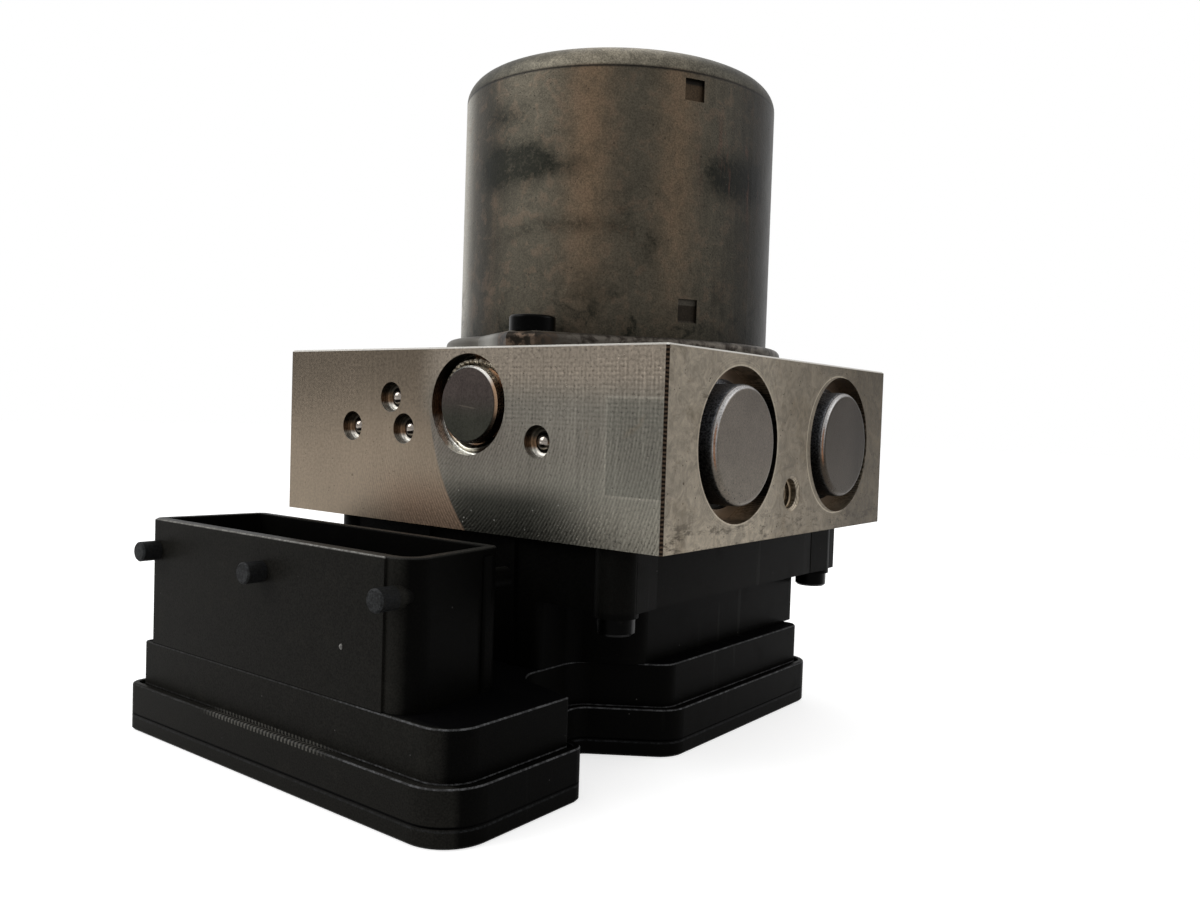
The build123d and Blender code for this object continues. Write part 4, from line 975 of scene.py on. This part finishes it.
class BRAKE_OT_threads(bpy.types.Operator):
    """Threads in the ports and bracket holes"""

    bl_idname = "brake_module.threads"
    bl_label = "Threads"

    def execute(self, context):
        depth = context.scene.brake_sizes.thread_depth
        cut = metal_material("thread_aluminium", (0.30, 0.24, 0.17), 0.26)
        threads = []
        for name, mount in MOUNTS.items():
            if mount["kind"] == "threaded_hole":
                pitch = FINE_PITCH if name.startswith("wheel_port") else COARSE_PITCH
                run = mount["dims"]["length_mm"] * MM - pitch
                threads.append((name, mount["pos_m"], mount["axis"], mount["dims"]["r_mm"] * MM, pitch, run))
        pattern = MOUNTS["rear_bracket_holes"]
        radius = pattern["dims"]["hole_r_mm"] * MM
        for number, sign in enumerate((-1, 1), 1):
            place = np.array(pattern["pos_m"]) + (sign * pattern["dims"]["spacing_x_mm"] * MM / 2, 0.0, 0.0)
            name = f"rear_bracket_{number}"
            threads.append((name, place, pattern["axis"], radius, COARSE_PITCH, REAR_THREAD))
        for name, *shape in threads:
            points = thread_points(*shape, depth)
            piece_from_grid(f"thread_{name}", points, cut, wrap_columns=True)
        return {"FINISHED"}


class BRAKE_OT_plugs(bpy.types.Operator):
    """Pump plugs with their staked rings, and the pressed-in balls"""

    bl_idname = "brake_module.plugs"
    bl_label = "Plugs and balls"

    def execute(self, context):
        colours, sizes = context.scene.brake_colours, context.scene.brake_sizes
        dress(plug_material(), "pump_plug")
        dress(ball_material(colours), "ball_plugs")
        staked = staked_material()
        for name, side in (("front", -1), ("rear", 1)):
            low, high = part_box(f"pump_plug_{name}")
            face = (block_low.y if side < 0 else block_high.y) * MM
            centre = (0.0, face - side * sizes.plug_recess, (low.z + high.z) / 2)
            points = staked_points(centre, (0.0, side, 0.0), sizes, 0.7 * side)
            piece_from_grid(f"staking_{name}", points, staked, True, True)
        return {"FINISHED"}


class BRAKE_OT_caps(bpy.types.Operator):
    """Accumulator caps, the split rings that hold them, and the steel of the springs"""

    bl_idname = "brake_module.caps"
    bl_label = "Accumulator caps"

    def execute(self, context):
        dress(cap_material(), "accumulator_cap")
        dress(metal_material("clip_steel", (0.170, 0.128, 0.092), 0.30), "retaining_clips")
        spring = metal_material("spring_steel", (0.075, 0.055, 0.042), 0.34)
        dress(spring, "brush_springs", "pump_spring", "accumulator_spring")
        return {"FINISHED"}


class BRAKE_OT_motor(bpy.types.Operator):
    """Motor can, its seat plate and screws"""

    bl_idname = "brake_module.motor"
    bl_label = "Motor"

    def execute(self, context):
        dress(can_material(context.scene.brake_colours), "motor_can")
        dress(plate_material(), "motor_plate")
        dress(screw_material("black_screw", True), "motor_screws")
        return {"FINISHED"}


class BRAKE_OT_housing(bpy.types.Operator):
    """Control unit housing, cover and the screws that hold them"""

    bl_idname = "brake_module.housing"
    bl_label = "Housing"

    def execute(self, context):
        colours, sizes = context.scene.brake_colours, context.scene.brake_sizes
        dress(plastic_material("black_plastic", colours), "ecu_housing", "ecu_cover")
        dress(screw_material("zinc_screw", False), "housing_screws")
        nub_place = (sizes.nub_x, housing_low.y * MM + sizes.pin_stand, sizes.nub_z)
        points = nub_points(nub_place, (0.0, -1.0, 0.0), sizes.nub_size)
        torn = moulded_material("torn_plastic", (0.17, 0.165, 0.155), 0.6)
        piece_from_grid("moulding_nub", points, torn, wrap_rows=True)
        return {"FINISHED"}


def springy_copy(name, joint):
    """A copy of a coil spring that stands for the CAD one; its span and its piston's travel are worked out
    but not used.
    """
    mesh = NODES[name].data.copy()
    close_mesh(mesh)
    coil = placed(f"{name}_coil", mesh)
    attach(coil, "module")
    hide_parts(name)
    low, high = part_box(name)
    axis = Vector(joint["axis"])
    span = abs((high - low).dot(axis))
    travel = max(abs(limit) for limit in joint["range_m"])
    1.0 - travel / span
    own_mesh(coil)


class BRAKE_OT_springs(bpy.types.Operator):
    """Copies of the springs that stand for the CAD ones"""

    bl_idname = "brake_module.springs"
    bl_label = "Springs"

    def execute(self, context):
        joints = {joint["name"]: joint for joint in frame["record"]["behaviour"]["joints"]}
        for kind in ("pump", "accumulator"):
            for side in ("front", "rear"):
                piston = f"{kind}_piston_{side}"
                springy_copy(f"{kind}_spring_{side}", joints[f"{piston}_slide"])
        return {"FINISHED"}


class BRAKE_OT_inner(bpy.types.Operator):
    """Finishes of the pieces inside"""

    bl_idname = "brake_module.inner"
    bl_label = "Inner pieces"

    def execute(self, context):
        colours = context.scene.brake_colours
        copper = tuple(colours.copper)
        dress(steel_material("steel", colours, 1.6, 0.3), "pump_sleeve", "pump_piston", "rotor_shaft",
              "eccentric_ring", "bottom_bearing", "inlet_valve_bodies", "outlet_valve_bodies")
        dress(winding_material("coil_copper", copper), "coil_windings", "armature_winding")
        dress(metal_material("copper", copper, 0.25), "commutator", "motor_leads")
        dress(moulded_material("coil_plastic", (0.055, 0.055, 0.060)), "coil_bobbins", "brush_holder")
        dress(metal_material("tinned_brass", (0.62, 0.56, 0.40), 0.22), "signal_terminals", "power_terminals")
        dress(metal_material("core_iron", (0.20, 0.20, 0.21), 0.42), "coil_yokes", "armature_core",
              "inlet_armature", "outlet_armature")
        dress(metal_material("magnet", (0.045, 0.045, 0.050), 0.5, 1500.0, 0.3), "motor_magnets")
        dress(moulded_material("carbon", (0.020, 0.020, 0.021), 0.5), "brushes")
        dress(metal_material("bronze", (0.42, 0.24, 0.10), 0.4, 1800.0), "top_bearing")
        dress(moulded_material("rubber", (0.010, 0.010, 0.011), 0.55), "housing_seal", "accumulator_ring")
        dress(metal_material("piston_aluminium", (0.62, 0.62, 0.63), 0.25), "accumulator_piston")
        dress(board_material(), "circuit_board")
        dress(component_material(), "board_components")
        return {"FINISHED"}


class BRAKE_OT_stage(bpy.types.Operator):
    """Pale floor, sky, lamps and camera"""

    bl_idname = "brake_module.stage"
    bl_label = "Stage"

    def execute(self, context):
        stage = context.scene.brake_stage
        floor_mesh = bpy.data.meshes.new("floor")
        reach, level = 3.0, CAD_BOUNDS[0][2] - 0.05 * MM
        corners = [(x * reach, y * reach, level) for x, y in ((-1, -1), (1, -1), (1, 1), (-1, 1))]
        floor_mesh.from_pydata(corners, [], [(0, 1, 2, 3)])
        floor_mesh.materials.append(floor_material())
        placed("floor", floor_mesh)
        sky(context.scene, stage.world_level)
        centre = Vector((0.0, -0.02, 0.08))
        lamp("key_light", (-0.55, -0.75, 0.75), centre, 0.7, stage.key_power)
        lamp("rim_light", (0.75, 0.45, 0.55), centre, 0.6, stage.rim_power)
        lamp("crown_light", (-0.15, 0.35, 0.95), centre, 0.5, stage.rim_power * 0.7)
        place_camera(context.scene, stage.lens)
        context.scene.view_settings.view_transform = "Standard"
        return {"FINISHED"}


def floor_material():
    """Pale floor that keeps the shadow, brought to white for the camera and towards the backdrop."""
    paint = Recipe("floor")
    paint.feed(paint.shader.inputs["Base Color"], (0.58, 0.58, 0.58))
    paint.feed(paint.shader.inputs["Roughness"], 0.9)
    paint.feed(paint.shader.inputs["Specular IOR Level"], 0.0)
    paint.feed(paint.shader.inputs["Emission Strength"], 1.0)
    paint.feed(paint.shader.inputs["Emission Color"], backdrop_rays(paint, paint.place, -0.20, 0.10) * 0.62)
    return paint.material


def backdrop_rays(nodes, place, near, far):
    """1 for camera rays, and for mirrored and glass rays where the place lies towards the backdrop."""
    settings, inputs = {"operation": "DOT_PRODUCT"}, {0: place, 1: TOWARD_BACKDROP}
    toward = nodes.node("ShaderNodeVectorMath", settings, inputs).outputs["Value"]
    path = nodes.node("ShaderNodeLightPath").outputs
    mirrored = Wire(nodes, path["Is Glossy Ray"]).most(path["Is Transmission Ray"])
    return (mirrored * Wire(nodes, toward).rise(near, far)).most(path["Is Camera Ray"])


def sky(scene, level):
    """White backdrop for the camera and mirrored rays, and a plain room for the light and the rest."""
    scene.world = bpy.data.worlds.new("sky")
    nodes = NodeTree(scene.world)
    background = next(n for n in nodes.tree.nodes if n.type == "BACKGROUND")
    nodes.feed(background.inputs["Color"], (1.0, 1.0, 1.0))
    place = nodes.node("ShaderNodeTexCoord").outputs["Generated"]
    height = nodes.node("ShaderNodeSeparateXYZ", {}, {0: place}).outputs["Z"]
    room = nodes.node("ShaderNodeMapRange", {}, {"Value": height, "To Min": level, "To Max": 1.0}).outputs[0]
    inputs = {0: backdrop_rays(nodes, place, 0.45, 0.65), 2: room, 3: 1.0}
    nodes.feed(background.inputs["Strength"], nodes.node("ShaderNodeMix", {}, inputs).outputs[0])


def lamp(name, place, target, size, power):
    """A soft square lamp that points at the object."""
    light = bpy.data.lights.new(name, "AREA")
    light.size = size
    light.energy = power
    holder = placed(name, light)
    holder.location = place
    holder.rotation_euler = (target - Vector(place)).to_track_quat("-Z", "Y").to_euler()


def place_camera(scene, lens):
    """The photograph's viewpoint: 26 cm away, a little above the block's middle, held slightly turned."""
    camera = bpy.data.cameras.new("camera")
    camera.sensor_fit = "HORIZONTAL"
    camera.sensor_width = 36.0
    camera.lens = lens
    camera.clip_start = 0.005
    holder = placed("camera", camera)
    yaw, pitch, roll = (math.radians(angle) for angle in CAMERA_ANGLES)
    turn = Matrix.Rotation(yaw, 4, "Z") @ Matrix.Rotation(math.pi / 2 + pitch, 4, "X")
    turn = turn @ Matrix.Rotation(roll, 4, "Z")
    holder.matrix_world = Matrix.Translation(CAMERA_PLACE) @ turn
    scene.camera = holder


OPERATORS = (BRAKE_OT_stage, BRAKE_OT_block, BRAKE_OT_threads, BRAKE_OT_plugs, BRAKE_OT_caps, BRAKE_OT_motor,
             BRAKE_OT_housing, BRAKE_OT_inner, BRAKE_OT_springs)
GROUPS = {"brake_sizes": BrakeModuleSizes, "brake_colours": BrakeModuleColours,
          "brake_stage": BrakeModuleStage}


class BRAKE_PT_panel(bpy.types.Panel):
    """Lists the steps"""

    bl_idname = "BRAKE_PT_panel"
    bl_label = "Brake module"
    bl_space_type = "VIEW_3D"
    bl_region_type = "UI"
    bl_category = "Brake module"

    def draw(self, context):
        for operator in OPERATORS:
            self.layout.operator(operator.bl_idname)


CLASSES = (*GROUPS.values(), *OPERATORS, BRAKE_PT_panel)


def register():
    for item in CLASSES:
        bpy.utils.register_class(item)
    for name, group in GROUPS.items():
        setattr(bpy.types.Scene, name, PointerProperty(type=group))


def unregister():
    for name in GROUPS:
        delattr(bpy.types.Scene, name)
    for item in reversed(CLASSES):
        bpy.utils.unregister_class(item)


def main():
    register()
    for operator in OPERATORS:
        module, name = operator.bl_idname.split(".")
        getattr(getattr(bpy.ops, module), name)()


if __name__ == "__main__":
    main()
